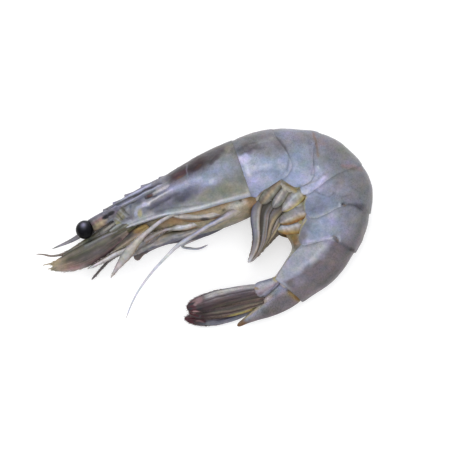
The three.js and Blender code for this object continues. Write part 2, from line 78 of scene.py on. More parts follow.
# Brow to tail joint: back x, y, flank's lower edge x, y, half width, fullness of the back's curve (2 is an ellipse),
# the belly's depth under the edge, and how narrow it runs out below.
STATIONS = np.array([
    (-32.0, 6.2, -27.3, -1.3, 4.6, 1.35, 4.2, 1.9),
    (-24.3, 10.7, -22.1, 0.7, 5.9, 1.45, 5.3, 1.9),
    (-14.7, 15.8, -13.6, 3.3, 7.6, 1.6, 6.3, 1.7),
    (-5.1, 21.6, -2.9, 5.2, 8.9, 1.8, 7.3, 1.3),
    (2.2, 25.4, 6.4, 7.8, 9.4, 2.0, 7.3, 0.9),
    (8.3, 28.0, 14.4, 9.9, 9.2, 2.1, 5.3, 0.6),
    (14.7, 30.2, 18.6, 11.9, 9.0, 2.2, 0.8, 0.5),
    (21.4, 31.6, 23.4, 14.1, 8.9, 2.2, 0.6, 0.5),
    (28.8, 31.5, 26.9, 13.3, 8.8, 2.2, 0.8, 0.5),
    (36.2, 30.5, 29.2, 12.0, 8.7, 2.2, 1.2, 0.5),
    (43.8, 26.6, 30.2, 10.8, 8.6, 2.2, 1.6, 0.5),
    (50.1, 20.0, 30.8, 9.2, 8.4, 2.2, 1.8, 0.5),
    (53.0, 12.6, 30.9, 7.0, 8.1, 2.2, 2.0, 0.5),
    (52.5, 4.3, 30.6, 3.8, 7.7, 2.2, 2.6, 0.6),
    (50.7, -2.1, 29.6, -1.4, 7.2, 2.1, 4.2, 0.8),
    (47.7, -8.2, 28.3, -6.4, 6.6, 2.0, 0.8, 0.7),
    (40.6, -17.1, 25.3, -11.4, 5.6, 1.9, 0.2, 0.6),
    (31.2, -23.6, 22.1, -16.5, 4.3, 1.8, 0.4, 0.6),
])
HALF_WIDTH = STATIONS[:, 4]
CARAPACE_END = 5  # stations of the carapace's rear edge and of the tail's joint
TAIL_JOINT = 17

# Rear edge of each shell: station, then bulges of (place on the flank, reach in stations, spread).
REAR_EDGES = [
    (5, []),
    (7, [(0.72, 0.95, 0.25)]),
    (9, [(0.78, 0.95, 0.18)]),
    (11, [(0.6, -0.25, 0.3)]),
    (13, [(0.48, -0.5, 0.2), (0.85, 0.22, 0.16)]),
    (15, [(0.6, -0.55, 0.25)]),
    (17, [(0.0, 0.05, 0.3)]),
]

EYE_CENTRE = np.array([-38.6, -0.7])
EYE_OUT = 6.0  # from the mid plane to each eye's middle
EYE_RADIUS = 2.85

# The frame's left eye says where the body plan's origin lies.
EYE_MIDDLE = np.mean(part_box("eye_left"), axis=0) / MM
ORIGIN = np.array([*(EYE_MIDDLE[:2] - EYE_CENTRE), 0.0])


# ------------------------------------------------------------------ small mathematics


def smooth(low, high, x):
    """0 below low, 1 above high, and a soft step between."""
    s = np.clip((x - low) / (high - low), 0, 1)
    return s * s * (3 - 2 * s)


def bell(x, centre, spread):
    """1 at the centre, falling off softly over the spread."""
    return np.exp(-(((x - centre) / spread) ** 2))


def along(values, t):
    """Smooth value at positions t of evenly spaced values, n or n by k."""
    values = np.asarray(values, float)
    t = np.atleast_1d(np.asarray(t, float))
    last = len(values) - 1
    i = np.clip(np.floor(t).astype(int), 0, last - 1)
    x = t - i
    first = i == 0
    end = i + 2 > last
    if values.ndim > 1:
        x, first, end = x[:, None], first[:, None], end[:, None]
    b, c = values[i], values[i + 1]
    a = np.where(first, 2 * b - c, values[np.maximum(i - 1, 0)])
    d = np.where(end, 2 * c - b, values[np.minimum(i + 2, last)])
    return b + 0.5 * x * (c - a + x * (2 * a - 5 * b + 4 * c - d + x * (3 * (b - c) + d - a)))


def wobble(points, size, seed):
    """Smooth noise of about -1 to 1 with lumps of about size mm."""
    rng = np.random.default_rng(seed)
    total = np.zeros(len(points))
    for _ in range(8):
        heading = rng.normal(size=points.shape[1])
        heading /= np.linalg.norm(heading)
        wave = heading * 2 * math.pi / (size * rng.uniform(0.8, 2.0))
        total += np.sin(points @ wave + rng.uniform(0, 2 * math.pi))
    return total / 3.2


def mid_plane(t):
    """Height of the body's mid plane above the table."""
    return along(HALF_WIDTH, np.maximum(t, CARAPACE_END)) + REST_LIFT


HEAD_PLANE = float(mid_plane(0)[0])
TAIL_PLANE = float(mid_plane(TAIL_JOINT)[0])
BLADE_PLANE = float(mid_plane(10)[0])


def body_point(t, around, lift):
    """Points of the body's surface: around is -1 to 1 over the back, and past 1 under the belly."""
    s = along(STATIONS, t)
    edge = s[:, 2:4]
    up = s[:, 0:2] - edge
    depth = np.linalg.norm(up, axis=1)
    up /= depth[:, None]
    half_width, crest, belly, keel = s[:, 4], s[:, 5], s[:, 6], s[:, 7]
    u = np.minimum(1, np.abs(around))
    angle = np.minimum(u / SIDE_BREAK, 1) * math.pi / 2
    power = 2 / crest
    down = np.maximum(0, (u - SIDE_BREAK) / (1 - SIDE_BREAK))
    over = u < SIDE_BREAK
    tall = np.where(over, WIDEST + (1 - WIDEST) * np.maximum(0, np.cos(angle)) ** power, WIDEST - (1 + WIDEST) * down)
    wide = np.where(over, np.sin(angle) ** power, 1 - EDGE_TUCK * down**2)
    height = (tall + 1) / 2 * depth + lift * np.maximum(0, (tall - WIDEST) / (1 - WIDEST))
    out = (half_width + lift) * wide
    under = np.clip(np.abs(around) - 1, 0, 1) * math.pi / 2
    drop = belly + np.maximum(0, lift + FLESH_INSET)
    below = under > 0
    height = np.where(below, -drop * np.sin(under), height)
    out = np.where(below, out * np.cos(under) ** (1 + keel), out)
    xy = edge + up * height[:, None]
    z = np.maximum(0, mid_plane(t) + np.sign(around) * out)
    return np.column_stack([xy, z])


def rear_edge(i, around):
    """Station of shell number i's rear edge."""
    at, bulges = REAR_EDGES[i]
    edge = np.full(len(around), float(at))
    for place, reach, spread in bulges:
        edge += reach * bell(np.abs(around), place, spread)
    return edge


def near_line(points, line, width):
    """1 on a line of x, y corners, fading to 0 over the width."""
    nearest = np.full(len(points), 1e9)
    for start, end in zip(line[:-1], line[1:]):
        a = np.array(start)
        run = np.array(end) - a
        share = np.clip(((points[:, :2] - a) @ run) / (run @ run), 0, 1)
        nearest = np.minimum(nearest, np.linalg.norm(points[:, :2] - a - share[:, None] * run, axis=1))
    return np.exp(-((nearest / width) ** 2))


def in_patch(points, centre, size, turn=0.0):
    """1 inside a soft ellipse of half sizes, turned by degrees."""
    away = points[:, :2] - np.array(centre)
    c, s = math.cos(math.radians(turn)), math.sin(math.radians(turn))
    reach = np.hypot((away[:, 0] * c + away[:, 1] * s) / size[0], (away[:, 1] * c - away[:, 0] * s) / size[1])
    return 1 - smooth(0.45, 1.25, reach)


# ------------------------------------------------------------------ colours and materials


def linear(code):
    """An sRGB hex colour as linear red, green and blue."""
    parts = [int(code[i : i + 2], 16) / 255 for i in (1, 3, 5)]
    return tuple(p / 12.92 if p <= 0.04045 else ((p + 0.055) / 1.055) ** 2.4 for p in parts)


PALETTE = {
    "back": ("#686566", "Grey-brown of the back"),
    "back_dark": ("#40393c", "Darkest grey of the back"),
    "slate": ("#72737b", "Grey of the upper flank"),
    "blue": ("#80889d", "Blue-grey of the flank"),
    "sky": ("#9099b0", "Pale blue of the flank"),
    "lavender": ("#9ea0bb", "Palest lavender of the shell"),
    "lilac": ("#858597", "Lilac grey ridges"),
    "ink": ("#1b1a21", "Near black pigment"),
    "olive": ("#7c7c70", "Green-grey low on the carapace"),
    "moss": ("#5e5b45", "Olive of the feelers"),
    "umber": ("#3e3930", "Dark brown stripes of the feelers"),
    "maroon": ("#26141a", "Maroon under the carapace's back"),
    "rim": ("#a3a6ad", "Pale bluish rim of the carapace"),
    "ochre": ("#8b7543", "Yellow joint membranes"),
    "rust": ("#725127", "Orange-brown of membranes and roots"),
    "cream": ("#988b73", "Beige of the thorax"),
    "bone": ("#a59f9d", "Pale limb shell"),
    "ash": ("#78767a", "Grey of limb edges"),
    "clay": ("#716459", "Brown-grey limb shell"),
    # shadow is painted shade: dark brown laid where limbs overlap and in the gaps between them
    "shadow": ("#352e26", "Brown between the limbs"),
    "tawny": ("#686064", "Mauve grey of the sixth plate and telson"),
    "plum": ("#4d3e40", "Dark brown of the fan blades"),
    "wine": ("#431420", "Dark red of the fan's tips"),
    "rose": ("#8f7073", "Pink mottling"),
    "steel": ("#555565", "Blue-grey of the under blade"),
    "frost": ("#c3c4cd", "Whitish shell of thin leg ends"),
    "straw": ("#a39a66", "Pale yellow spots and membranes"),
}


def tint(name):
    """A palette colour as an array."""
    return np.array(getattr(bpy.context.scene.prawn_colours, name)[:])


class Pigment:
    """Colour and speckle of a piece's points, laid on one coat after another."""

    def __init__(self, count, base, speckle=0.3):
        self.colour = np.tile(tint(base), (count, 1))
        self.speckle = np.full(count, float(speckle))

    def coat(self, name, share):
        """A palette colour over the points by their share, 0 to 1."""
        share = np.clip(np.broadcast_to(share, len(self.speckle)), 0, 1)
        self.colour += (tint(name) - self.colour) * share[:, None]

    def shade(self, factor):
        """Darker where the factor is under 1."""
        self.colour *= np.broadcast_to(factor, len(self.speckle))[:, None]

    def wash(self, across, stops):
        """A run of palette colours: stops are (place, name) in rising order."""
        places, names = zip(*stops)
        colours = np.array([tint(name) for name in names])
        self.colour = np.stack([np.interp(across, places, band) for band in colours.T], 1)

    def coats(self, points, rows, seed=None):
        """Lays lines and soft patches, their edges a little uneven where a seed is given. Rows are (colour, strength,
        line's corners, width) or (colour, strength, centre, half sizes, turn)."""
        drift = 0.0
        if seed is not None:
            drift = np.column_stack([wobble(points, 2.2, seed), wobble(points, 2.2, seed + 1)])
        for name, strength, where, size, *turn in rows:
            if isinstance(where, list):
                self.coat(name, strength * near_line(points[:, :2] + LINE_DRIFT * drift, where, size))
            else:
                self.coat(name, strength * in_patch(points[:, :2] + PATCH_DRIFT * drift, where, size, *turn))


def limb_pigment(limb, speckle, stops, uneven=0.0, lump=1.0, seed=0):
    """Pigment of a limb whose colours run across it, with borders made uneven by lumps of about lump mm."""
    pigment = Pigment(len(limb.share), stops[0][1], speckle)
    pigment.wash(limb.across + uneven * wobble(limb.points, lump, seed), stops)
    return pigment


def node(tree, kind, links=None, **settings):
    """A node with its settings and links: names of inputs, with _ for a space, go to sockets, the rest to the node."""
    made = tree.nodes.new(kind)
    for key, value in settings.items():
        if hasattr(made, key):
            setattr(made, key, value)
        else:
            made.inputs[key.replace("_", " ")].default_value = value
    for socket, source in (links or {}).items():
        tree.links.new(source, made.inputs[socket])
    return made


def wet_chitin(
    name, dot_mm=0.48, dots="#3b3532", mottle=0.22, roughness=0.36, coat=0.15, depth_mm=0.8, grain_mm=0.9,
    grain=0.05, ior=WATER_IOR,
):
    """Crustacean shell, moulted and wet: pigment in a clear horny layer, dark dots, fine pores and a film of water."""
    material = bpy.data.materials.new(name)
    material.use_nodes = True
    tree = material.node_tree
    tree.nodes.clear()
    place = node(tree, "ShaderNodeTexCoord").outputs["Object"]
    pigment = node(tree, "ShaderNodeAttribute", attribute_name="pigment")
    # clouds a few millimetres across, as the flesh shows through unevenly, and a grain under a millimetre
    cloud = node(tree, "ShaderNodeTexNoise", {"Vector": place}, Scale=1 / (3.2 * MM), Detail=5.0, Roughness=0.62)
    fine = node(tree, "ShaderNodeTexNoise", {"Vector": place}, Scale=1 / (0.75 * MM), Detail=4.0, Roughness=0.75)
    both = node(tree, "ShaderNodeMath", {0: cloud.outputs["Fac"], 1: fine.outputs["Fac"]}, operation="ADD")
    level = node(
        tree, "ShaderNodeMapRange", {"Value": both.outputs[0]},
        From_Min=0.72, From_Max=1.28, To_Min=1 - mottle, To_Max=1 + mottle,
    )
    # the same clouds lean a little to blue here and to olive there
    lean = node(tree, "ShaderNodeVectorMath", {0: cloud.outputs["Color"]}, operation="MULTIPLY_ADD")
    lean.inputs[1].default_value = (0.5, 0.35, 0.7)
    lean.inputs[2].default_value = (0.75, 0.825, 0.65)
    tone = node(tree, "ShaderNodeVectorMath", {0: pigment.outputs["Color"]}, operation="SCALE")
    tree.links.new(level.outputs[0], tone.inputs["Scale"])
    leaned = node(tree, "ShaderNodeVectorMath", {0: tone.outputs[0], 1: lean.outputs[0]}, operation="MULTIPLY")
    # pigment dots, drawn as coarse as they need to show
    cells = node(tree, "ShaderNodeTexVoronoi", {"Vector": place}, Scale=1 / (dot_mm * MM))
    dot = node(
        tree, "ShaderNodeMapRange", {"Value": cells.outputs["Distance"]},
        From_Min=0.14, From_Max=0.42, To_Min=1.0, To_Max=0.0,
    )
    strength = node(tree, "ShaderNodeMath", {0: dot.outputs[0], 1: pigment.outputs["Alpha"]}, operation="MULTIPLY")
    mixed = node(tree, "ShaderNodeMix", {0: strength.outputs[0], 6: leaned.outputs[0]}, data_type="RGBA")
    mixed.inputs[7].default_value = (*linear(dots), 1)
    # soft unevenness and pores catch the light
    pores = node(tree, "ShaderNodeTexNoise", {"Vector": place}, Scale=1 / (grain_mm * MM), Detail=4.0, Roughness=0.6)
    bump = node(tree, "ShaderNodeBump", {"Height": pores.outputs["Fac"]}, Strength=0.6, Distance=grain * MM)
    gloss = node(
        tree, "ShaderNodeMapRange", {"Value": cloud.outputs["Fac"]},
        From_Min=0.3, From_Max=0.7, To_Min=roughness - 0.08, To_Max=roughness + 0.1,
    )
    shader = node(
        tree, "ShaderNodeBsdfPrincipled",
        {"Base Color": mixed.outputs[2], "Roughness": gloss.outputs[0], "Normal": bump.outputs[0]},
        IOR=ior, Subsurface_Weight=0.15, Subsurface_Radius=(1.0, 0.7, 0.5), Subsurface_Scale=depth_mm * MM,
        Coat_Weight=coat, Coat_Roughness=0.14, Coat_IOR=WATER_IOR,
    )
    node(tree, "ShaderNodeOutputMaterial", {"Surface": shader.outputs[0]})
    return material


# ------------------------------------------------------------------ making pieces


def deselect():
    """Object mode with nothing selected."""
    if bpy.context.object and bpy.context.object.mode != "OBJECT":
        bpy.ops.object.mode_set(mode="OBJECT")
    bpy.ops.object.select_all(action="DESELECT")


def get_points(piece):
    """The piece's mesh points, n by 3."""
    points = np.empty(len(piece.data.vertices) * 3)
    piece.data.vertices.foreach_get("co", points)
    return points.reshape(-1, 3)


def set_points(piece, points):
    """Moves the mesh points to millimetre places of the body plan."""
    piece.data.vertices.foreach_set("co", ((points + ORIGIN) * MM).ravel())
    piece.data.update()


def add_grid(name, rows, columns):
    """A grid primitive and its points' shares along and across, each 0 to 1."""
    deselect()
    bpy.ops.mesh.primitive_grid_add(x_subdivisions=rows, y_subdivisions=columns, size=1)
    piece = bpy.context.object
    piece.name = name
    points = get_points(piece) + 0.5
    return piece, points[:, 0], points[:, 1]


def add_ball(name, sides, rings):
    """A ball primitive and its points' shares from pole to pole and angles round it."""
    deselect()
    bpy.ops.mesh.primitive_uv_sphere_add(segments=sides, ring_count=rings, radius=1)
    piece = bpy.context.object
    piece.name = name
    points = get_points(piece)
    share = np.round(np.arccos(np.clip(points[:, 2], -1, 1)) / math.pi * rings) / rings
    angle = np.arctan2(points[:, 1], points[:, 0])
    return piece, share, angle


def face_out(piece, outward):
    """Turns the faces outwards: outward gives each point's way out."""
    mesh = piece.data
    normals = np.empty(len(mesh.vertices) * 3)
    mesh.vertices.foreach_get("normal", normals)
    if (normals.reshape(-1, 3) * outward).sum() < 0:
        mesh.flip_normals()


def lay_pigment(piece, pigment):
    """Stores the colour and speckle with the mesh."""
    layer = piece.data.attributes.new("pigment", "FLOAT_COLOR", "POINT")
    layer.data.foreach_set("color", np.column_stack([pigment.colour, pigment.speckle]).ravel())


def thicken(piece, thickness):
    """Gives a sheet its thickness inwards."""
    wall = piece.modifiers.new("wall", "SOLIDIFY")
    wall.thickness = thickness * MM
    wall.offset = -1
    bpy.context.view_layer.objects.active = piece
    bpy.ops.object.modifier_apply(modifier=wall.name)


def finish_piece(piece, slot, node_name, material=None):
    """Smooth shading, the material (its slot's own where no other is named), and the piece's place in the frame."""
    deselect()
    piece.select_set(True)
    bpy.context.view_layer.objects.active = piece
    bpy.ops.object.shade_smooth_by_angle(angle=SMOOTH_ANGLE)
    piece.data.materials.clear()
    piece.data.materials.append(bpy.context.scene[f"{material or slot}_material"])
    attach(piece, "root")
    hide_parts(node_name)


def finish_limb(limb, pigment, slot, node_name, *tufts, material=None):
    """Lays a limb's pigment, joins its tufts of bristles to it, and finishes it."""
    lay_pigment(limb.piece, pigment)
    for tuft in tufts:
        add_bristles(limb, *tuft)
    finish_piece(limb.piece, slot, node_name, material)


def route_at(route, share):
    """Places and directions along a smooth route of points."""
    route = np.asarray(route, float)
    dense = along(route, np.linspace(0, len(route) - 1, 30 * (len(route) - 1) + 1))
    run = np.concatenate([[0], np.cumsum(np.linalg.norm(np.diff(dense, axis=0), axis=1))])
    run /= run[-1]

    def at(where):
        return np.stack([np.interp(where, run, dense[:, k]) for k in range(3)], 1)

    ahead = at(np.minimum(1, share + 0.004)) - at(np.maximum(0, share - 0.004))
    return at(share), ahead / np.linalg.norm(ahead, axis=1)[:, None]


def joints(root, links):
    """A limb's joints: its root, then links of (length, heading in degrees, step outwards)."""
    points = [tuple(root)]
    for length, heading, *out in links:
        x, y, z = points[-1]
        turn = math.radians(heading)
        points.append((x + length * math.cos(turn), y + length * math.sin(turn), z + (out[0] if out else 0)))
    return points


def round_end(share, length):
    """Breadth of a limb's rounded end: 1 before it and 0 at share 1."""
    return np.sqrt(np.clip(1 - np.maximum(0, (share - (1 - length)) / length) ** 2, 0, 1))


def add_limb(
    name, route, widths, thicks, plane, tip_plane=None, side=1, sides=20, rings=70, knots=(), blunt=0.05, ridges=()
):
    """A tapered limb on a route of (x, y, out), out to the left (side 1) or the right (-1) of the mid plane, with each
    point's share, place across (-1 to 1) and facing (up 1). Ridges are (height, place across, spread)."""
    piece, share, angle = add_ball(name, sides, rings)
    planes = np.linspace(plane, plane if tip_plane is None else tip_plane, len(route))
    places = np.array([(x, y, out * side + planes[k]) for k, (x, y, out) in enumerate(route)])
    at, ahead = route_at(places, share)
    flat = np.array([0, 0, 1.0]) - ahead * ahead[:, 2:3]
    flat /= np.linalg.norm(flat, axis=1)[:, None]
    broad = np.cross(flat, ahead)
    across, facing = np.cos(angle), np.sin(angle)
    ends = round_end(share, blunt)
    ends *= np.sqrt(np.clip(1 - np.maximum(0, (ROOT_ROUND - share) / ROOT_ROUND) ** 2, 0, 1))
    # a joint swells a little before its narrow ring
    for knot in knots:
        ends = ends * (1 + 0.05 * bell(share, knot - 0.016, 0.014) - 0.06 * bell(share, knot, 0.006))
    breadth = along(widths, share * (len(widths) - 1)) / 2 * ends
    depth = along(thicks, share * (len(thicks) - 1)) / 2 * ends
    depth = depth * (1 + sum(height * bell(across, place, spread) for height, place, spread in ridges))
    points = at + broad * (breadth * across)[:, None] + flat * (depth * facing)[:, None]
    points[:, 2] = np.maximum(0, points[:, 2])
    set_points(piece, points)
    face_out(piece, points - at)
    return SimpleNamespace(
        piece=piece, share=share, across=across, facing=facing, points=points, ahead=ahead, broad=broad
    )


def streaks(limb, lines, seed):
    """Lengthwise streaks over a limb, about -1 to 1."""
    return wobble(np.column_stack([limb.across * lines / 2, limb.share * 3.5, limb.facing * 0.4]), 1.0, seed)


def add_bristles(limb, count, length, lean, edges, span, colour, seed):
    """Fine bristles along a limb's edges, joined to it. edges: -1 upper, 1 lower; span: shares from, to."""
    rng = np.random.default_rng(seed)
    rows = []
    for edge in edges:
        rim = np.flatnonzero((limb.across * edge > 0.93) & (limb.share > span[0]) & (limb.share < span[1]))
        rows.append(rng.choice(rim, count))
    rows = np.concatenate(rows)
    roots = limb.points[rows] + rng.normal(0, 0.08, (len(rows), 3))
    out = limb.broad[rows] * np.sign(limb.across[rows])[:, None]
    way = out + limb.ahead[rows] * (lean + rng.normal(0, 0.2, len(rows)))[:, None]
    way += rng.normal(0, 0.1, (len(rows), 3))
    way /= np.linalg.norm(way, axis=1)[:, None]
    fade = np.sin(math.pi * np.clip((limb.share[rows] - span[0]) / (span[1] - span[0]), 0.12, 0.75))
    reach = length * rng.uniform(0.55, 1.1, len(rows)) * fade
    side = np.cross(way, [0, 0, 1.0])
    side /= np.linalg.norm(side, axis=1)[:, None]
    up = np.cross(side, way)
    corners = []
    # each bristle is a spike: three corners round its root and one at its tip
    for turn in range(3):
        c, s = math.cos(turn * 2.1) * BRISTLE_RADIUS, math.sin(turn * 2.1) * BRISTLE_RADIUS
        corners.append(roots - way * 0.15 + side * c + up * s)
    corners.append(roots + way * reach[:, None] + [0, 0, -0.04] * reach[:, None])
    places = np.stack(corners, 1)
    places[:, :, 2] = np.maximum(0, places[:, :, 2])
    spike = ((0, 1, 3), (1, 2, 3), (2, 0, 3), (2, 1, 0))
    faces = [tuple(4 * row + corner for corner in face) for row in range(len(rows)) for face in spike]
    mesh = bpy.data.meshes.new("bristles")
    mesh.from_pydata(((places.reshape(-1, 3) + ORIGIN) * MM).tolist(), [], faces)
    tuft = bpy.data.objects.new("bristles", mesh)
    bpy.context.collection.objects.link(tuft)
    pigment = Pigment(4 * len(rows), colour, 0)
    pigment.shade(np.repeat(rng.uniform(0.75, 1.15, len(rows)), 4))
    lay_pigment(tuft, pigment)
    deselect()
    tuft.select_set(True)
    limb.piece.select_set(True)
    bpy.context.view_layer.objects.active = limb.piece
    bpy.ops.object.join()


# ------------------------------------------------------------------ carapace and rostrum


# Ridges and furrows of the carapace's side: corners, width, height.
CARAPACE_RELIEF = [
    ([(-12.2, 13.6), (-19.5, 9.6), (-27.5, 5.4), (-31.0, 3.2)], 0.45, 0.3),
    ([(-12.5, 15.0), (-20.0, 11.4), (-28.5, 6.6)], 0.5, -0.35),
    ([(-2.0, 15.4), (-9.5, 12.6), (-16.0, 9.0), (-17.8, 6.6)], 0.7, 0.4),
    ([(-3.0, 13.4), (-9.0, 10.4), (-15.0, 6.8)], 0.8, -0.3),
    ([(-18.5, 9.4), (-24.0, 6.4)], 0.6, -0.3),
    ([(-20.0, 6.6), (-17.5, 7.4), (-14.5, 8.8)], 0.8, 0.3),
    ([(3.5, 18.0), (0.0, 16.4), (-5.0, 13.4)], 1.2, 0.12),
]
# Coats of pigment: (colour, strength, line's corners, width) or (colour, strength, centre, half sizes, turn).
CARAPACE_COATS = [
    ("back_dark", 0.85, [(-2.1, 20.6), (3.5, 23.8), (8.6, 26.2)], 2.0),
    ("maroon", 0.99, [(-10.8, 16.2), (-7.0, 18.2), (-2.1, 20.6)], 2.5),
    ("ink", 0.5, [(-9.0, 17.6), (-5.0, 19.4)], 1.3),
    ("wine", 0.5, (-8.2, 16.8), (3.4, 1.3), 28),
    ("rust", 0.3, (-8.6, 15.9), (1.6, 0.5), 28),
    ("rust", 0.25, (-2.6, 19.2), (1.2, 0.5), 28),
    ("maroon", 0.6, (2.6, 21.6), (2.6, 1.0), 30),
    ("back_dark", 0.5, (8.4, 24.0), (2.0, 0.8), 20),
    ("olive", 0.6, (7.6, 25.6), (2.6, 1.3), 30),
    ("lilac", 0.38, [(-6.1, 20.0), (-6.2, 18.4), (-5.8, 16.2)], 0.24),
    ("slate", 0.6, (-15.4, 14.2), (4.2, 1.6), 30),
    ("lavender", 0.6, (-21.1, 11.7), (4.6, 1.3), 27),
    ("steel", 0.9, [(-31.0, 4.9), (-25.3, 9.0), (-19.5, 11.9), (-15.4, 14.3)], 0.9),
    ("lavender", 0.9, [(-29.0, 8.2), (-25.0, 10.1), (-21.1, 12.0), (-17.9, 13.8)], 0.3),
    ("ink", 0.75, [(-30.1, 6.4), (-25.3, 9.2), (-20.8, 11.2), (-17.0, 13.1)], 0.24),
    ("ink", 0.85, [(-32.0, 6.1), (-28.2, 9.0), (-24.3, 10.9), (-20.2, 12.9)], 0.22),
    ("lavender", 0.6, [(-28.2, 6.7), (-24.6, 8.5), (-18.6, 11.7), (-14.4, 13.9)], 0.26),
    ("ink", 0.95, [(-27.5, 5.8), (-24.0, 7.6), (-20.2, 9.4), (-16.3, 11.7)], 0.36),
    ("ink", 0.6, [(-23.0, 9.9), (-18.6, 12.6), (-14.0, 14.4)], 0.2),
    ("steel", 0.85, (-20.8, 8.8), (2.6, 0.8), 30),
    ("steel", 0.8, [(-16.6, 9.7), (-12.8, 11.6), (-8.4, 13.9)], 0.7),
    ("bone", 0.95, [(-16.6, 10.8), (-14.2, 12.0), (-11.9, 13.4)], 0.38),
    ("frost", 0.4, [(-15.6, 11.2), (-12.6, 12.9)], 0.24),
    ("wine", 0.8, [(-18.5, 9.9), (-17.2, 10.4)], 0.32),
    ("rust", 0.5, [(-18.2, 9.9), (-17.4, 10.2)], 0.2),
    ("maroon", 0.8, [(-19.2, 9.5), (-17.4, 9.9)], 0.25),
    ("ink", 0.8, [(-19.2, 9.2), (-15.7, 10.1)], 0.2),
    ("rim", 0.8, (-19.8, 7.0), (3.3, 1.0), 26),
    ("lavender", 0.5, (-20.2, 6.9), (2.6, 0.8), 24),
    ("frost", 0.65, [(-18.2, 7.6), (-16.3, 9.0), (-13.4, 10.7), (-10.6, 12.0)], 0.27),
    ("lavender", 0.65, [(-11.6, 12.0), (-7.0, 13.4), (-1.6, 15.0)], 1.0),
    ("steel", 0.95, [(-18.2, 6.2), (-15.4, 7.7), (-12.5, 9.2), (-8.6, 10.8)], 0.7),
    ("ink", 0.5, [(-17.4, 5.9), (-14.4, 7.6), (-11.5, 9.2)], 0.4),
    ("steel", 0.95, (-6.8, 10.0), (5.2, 2.1), 27),
    ("ink", 0.4, (-7.4, 9.8), (3.2, 1.2), 27),
    ("steel", 0.6, (-13.4, 6.4), (4.6, 1.7), 22),
    # pale blue mid-flank patch: partly the shell's own colour and partly a painted highlight, brightest at its frost
    # core
    ("sky", 0.75, (1.4, 14.6), (3.2, 1.4), 18),
    ("frost", 0.35, (1.8, 14.9), (1.4, 0.8), 20),
    ("maroon", 0.6, (-3.3, 18.9), (1.8, 1.1), 28),
    ("umber", 0.5, [(-14.7, 16.2), (-20.7, 13.4), (-25.9, 10.4), (-29.5, 7.8), (-32.7, 5.6)], 0.4),
    ("blue", 0.35, (6.4, 17.8), (5.0, 2.2), 20),
    ("bone", 0.5, (-20.9, 4.3), (1.4, 2.0), 8),
    ("straw", 0.65, (-20.9, 4.2), (1.2, 1.7), 8),
    ("lavender", 0.7, (-22.5, 4.5), (0.7, 1.4), 0),
    ("straw", 0.7, (-28.2, 1.4), (1.2, 1.0), 30),
    ("straw", 0.45, (-27.0, 3.5), (1.3, 0.9), 0),
    ("steel", 0.6, [(-24.0, 6.9), (-24.0, 4.3), (-23.4, 2.4)], 0.35),
    ("moss", 0.6, (-27.5, 4.0), (3.4, 2.4), 35),
    ("rim", 0.4, [(-28.8, 6.6), (-26.2, 4.5), (-23.4, 1.6)], 0.28),
    ("rim", 0.35, [(-30.1, 3.7), (-27.8, 2.4), (-25.3, 0.5)], 0.26),
    ("rim", 0.25, [(-24.6, 6.4), (-26.9, 3.7), (-29.3, 0.8)], 0.24),
    ("ink", 0.6, [(-27.8, 6.9), (-25.6, 5.3), (-24.4, 3.9)], 0.2),
    ("ink", 0.6, [(-29.4, 5.0), (-27.6, 3.8), (-26.6, 2.7)], 0.2),
    ("umber", 0.5, (-25.8, 5.2), (1.1, 0.7), 20),
    ("ink", 0.5, (-24.6, 3.0), (0.8, 0.5), 20),
    # the eye socket's shadow, painted as two black patches
    ("ink", 1.0, (-30.4, 4.4), (1.8, 0.8), 40),
    ("ink", 1.0, (-31.4, 3.4), (1.4, 0.7), 44),
    ("lavender", 0.5, [(-32.0, 4.4), (-30.2, 6.0), (-28.8, 6.9)], 0.2),
    ("ink", 0.5, [(-32.6, 4.6), (-30.7, 6.1), (-28.5, 7.4)], 0.3),
    ("olive", 0.75, (4.2, 10.7), (9.0, 2.4), 13),
    ("moss", 0.25, (8.3, 12.0), (4.0, 1.6), 10),
    ("slate", 0.4, (9.6, 15.8), (2.2, 5.0), 70),
    ("olive", 0.35, (7.0, 22.9), (4.0, 1.8), 30),
    ("back", 0.4, (11.8, 13.3), (1.2, 3.4), 10),
    ("ink", 0.3, [(-17.9, 4.2), (-10.9, 6.2), (-0.3, 7.4), (12.8, 11.2)], 0.35),
]
# A wash of the flank names, for a station, its colours at these places from the back (0) to the lower edge (1).
FLANK_STOPS = (0, 0.28, 0.5, 0.75, 1.0)
CARAPACE_WASH = [
    (0.0, ["slate", "slate", "slate", "slate", "rim"]),
    (1.5, ["slate", "slate", "slate", "slate", "rim"]),
    (2.6, ["back", "slate", "lilac", "slate", "rim"]),
    (3.4, ["maroon", "back", "blue", "slate", "rim"]),
    (4.2, ["back_dark", "back", "blue", "olive", "rim"]),
    (5.0, ["back", "slate", "slate", "olive", "rim"]),
]
# The rostrum's ridge from the back forwards, and its teeth: x of the tip, height.
ROSTRUM_RIDGE = [(-12.5, 16.75), (-17.9, 14.3), (-26.0, 9.7), (-34.9, 3.4), (-41.6, -2.6), (-49.4, -6.9)]
ROSTRUM_TEETH = [(-14.9, 0.4), (-20.6, 0.65), (-25.8, 0.7), (-29.5, 0.7), (-32.6, 0.65), (-34.9, 0.5), (-37.2, 0.35)]
TOOTH_LENGTH = 2.8
TOOTH_FRONT = 0.25  # how far a tooth's tip slopes forwards


def flank_wash(t, u, columns):
    """Colours down the flank (u 0 to 1), blended between stations. columns: (station, [names at FLANK_STOPS])."""
    places = [station for station, _ in columns]
    down = []
    for _, names in columns:
        colours = np.array([tint(name) for name in names])
        down.append(np.stack([np.interp(u, FLANK_STOPS, band) for band in colours.T], 1))
    down = np.array(down)
    at = np.interp(t, places, np.arange(len(places)))
    low = np.clip(np.floor(at).astype(int), 0, len(places) - 2)
    mix = smooth(0, 1, at - low)[:, None]
    rows = np.arange(len(t))
    return down[low, rows] * (1 - mix) + down[low + 1, rows] * mix


def carapace_front(u):
    """How far the front edge is cut back: an orbit above, a spine, and a small cheek below."""
    return 0.3 * bell(u, 0.3, 0.1) - 0.14 * bell(u, 0.5, 0.05) + 0.06 * smooth(0.7, 0.85, u) + 0.16 * smooth(0.93, 1, u)


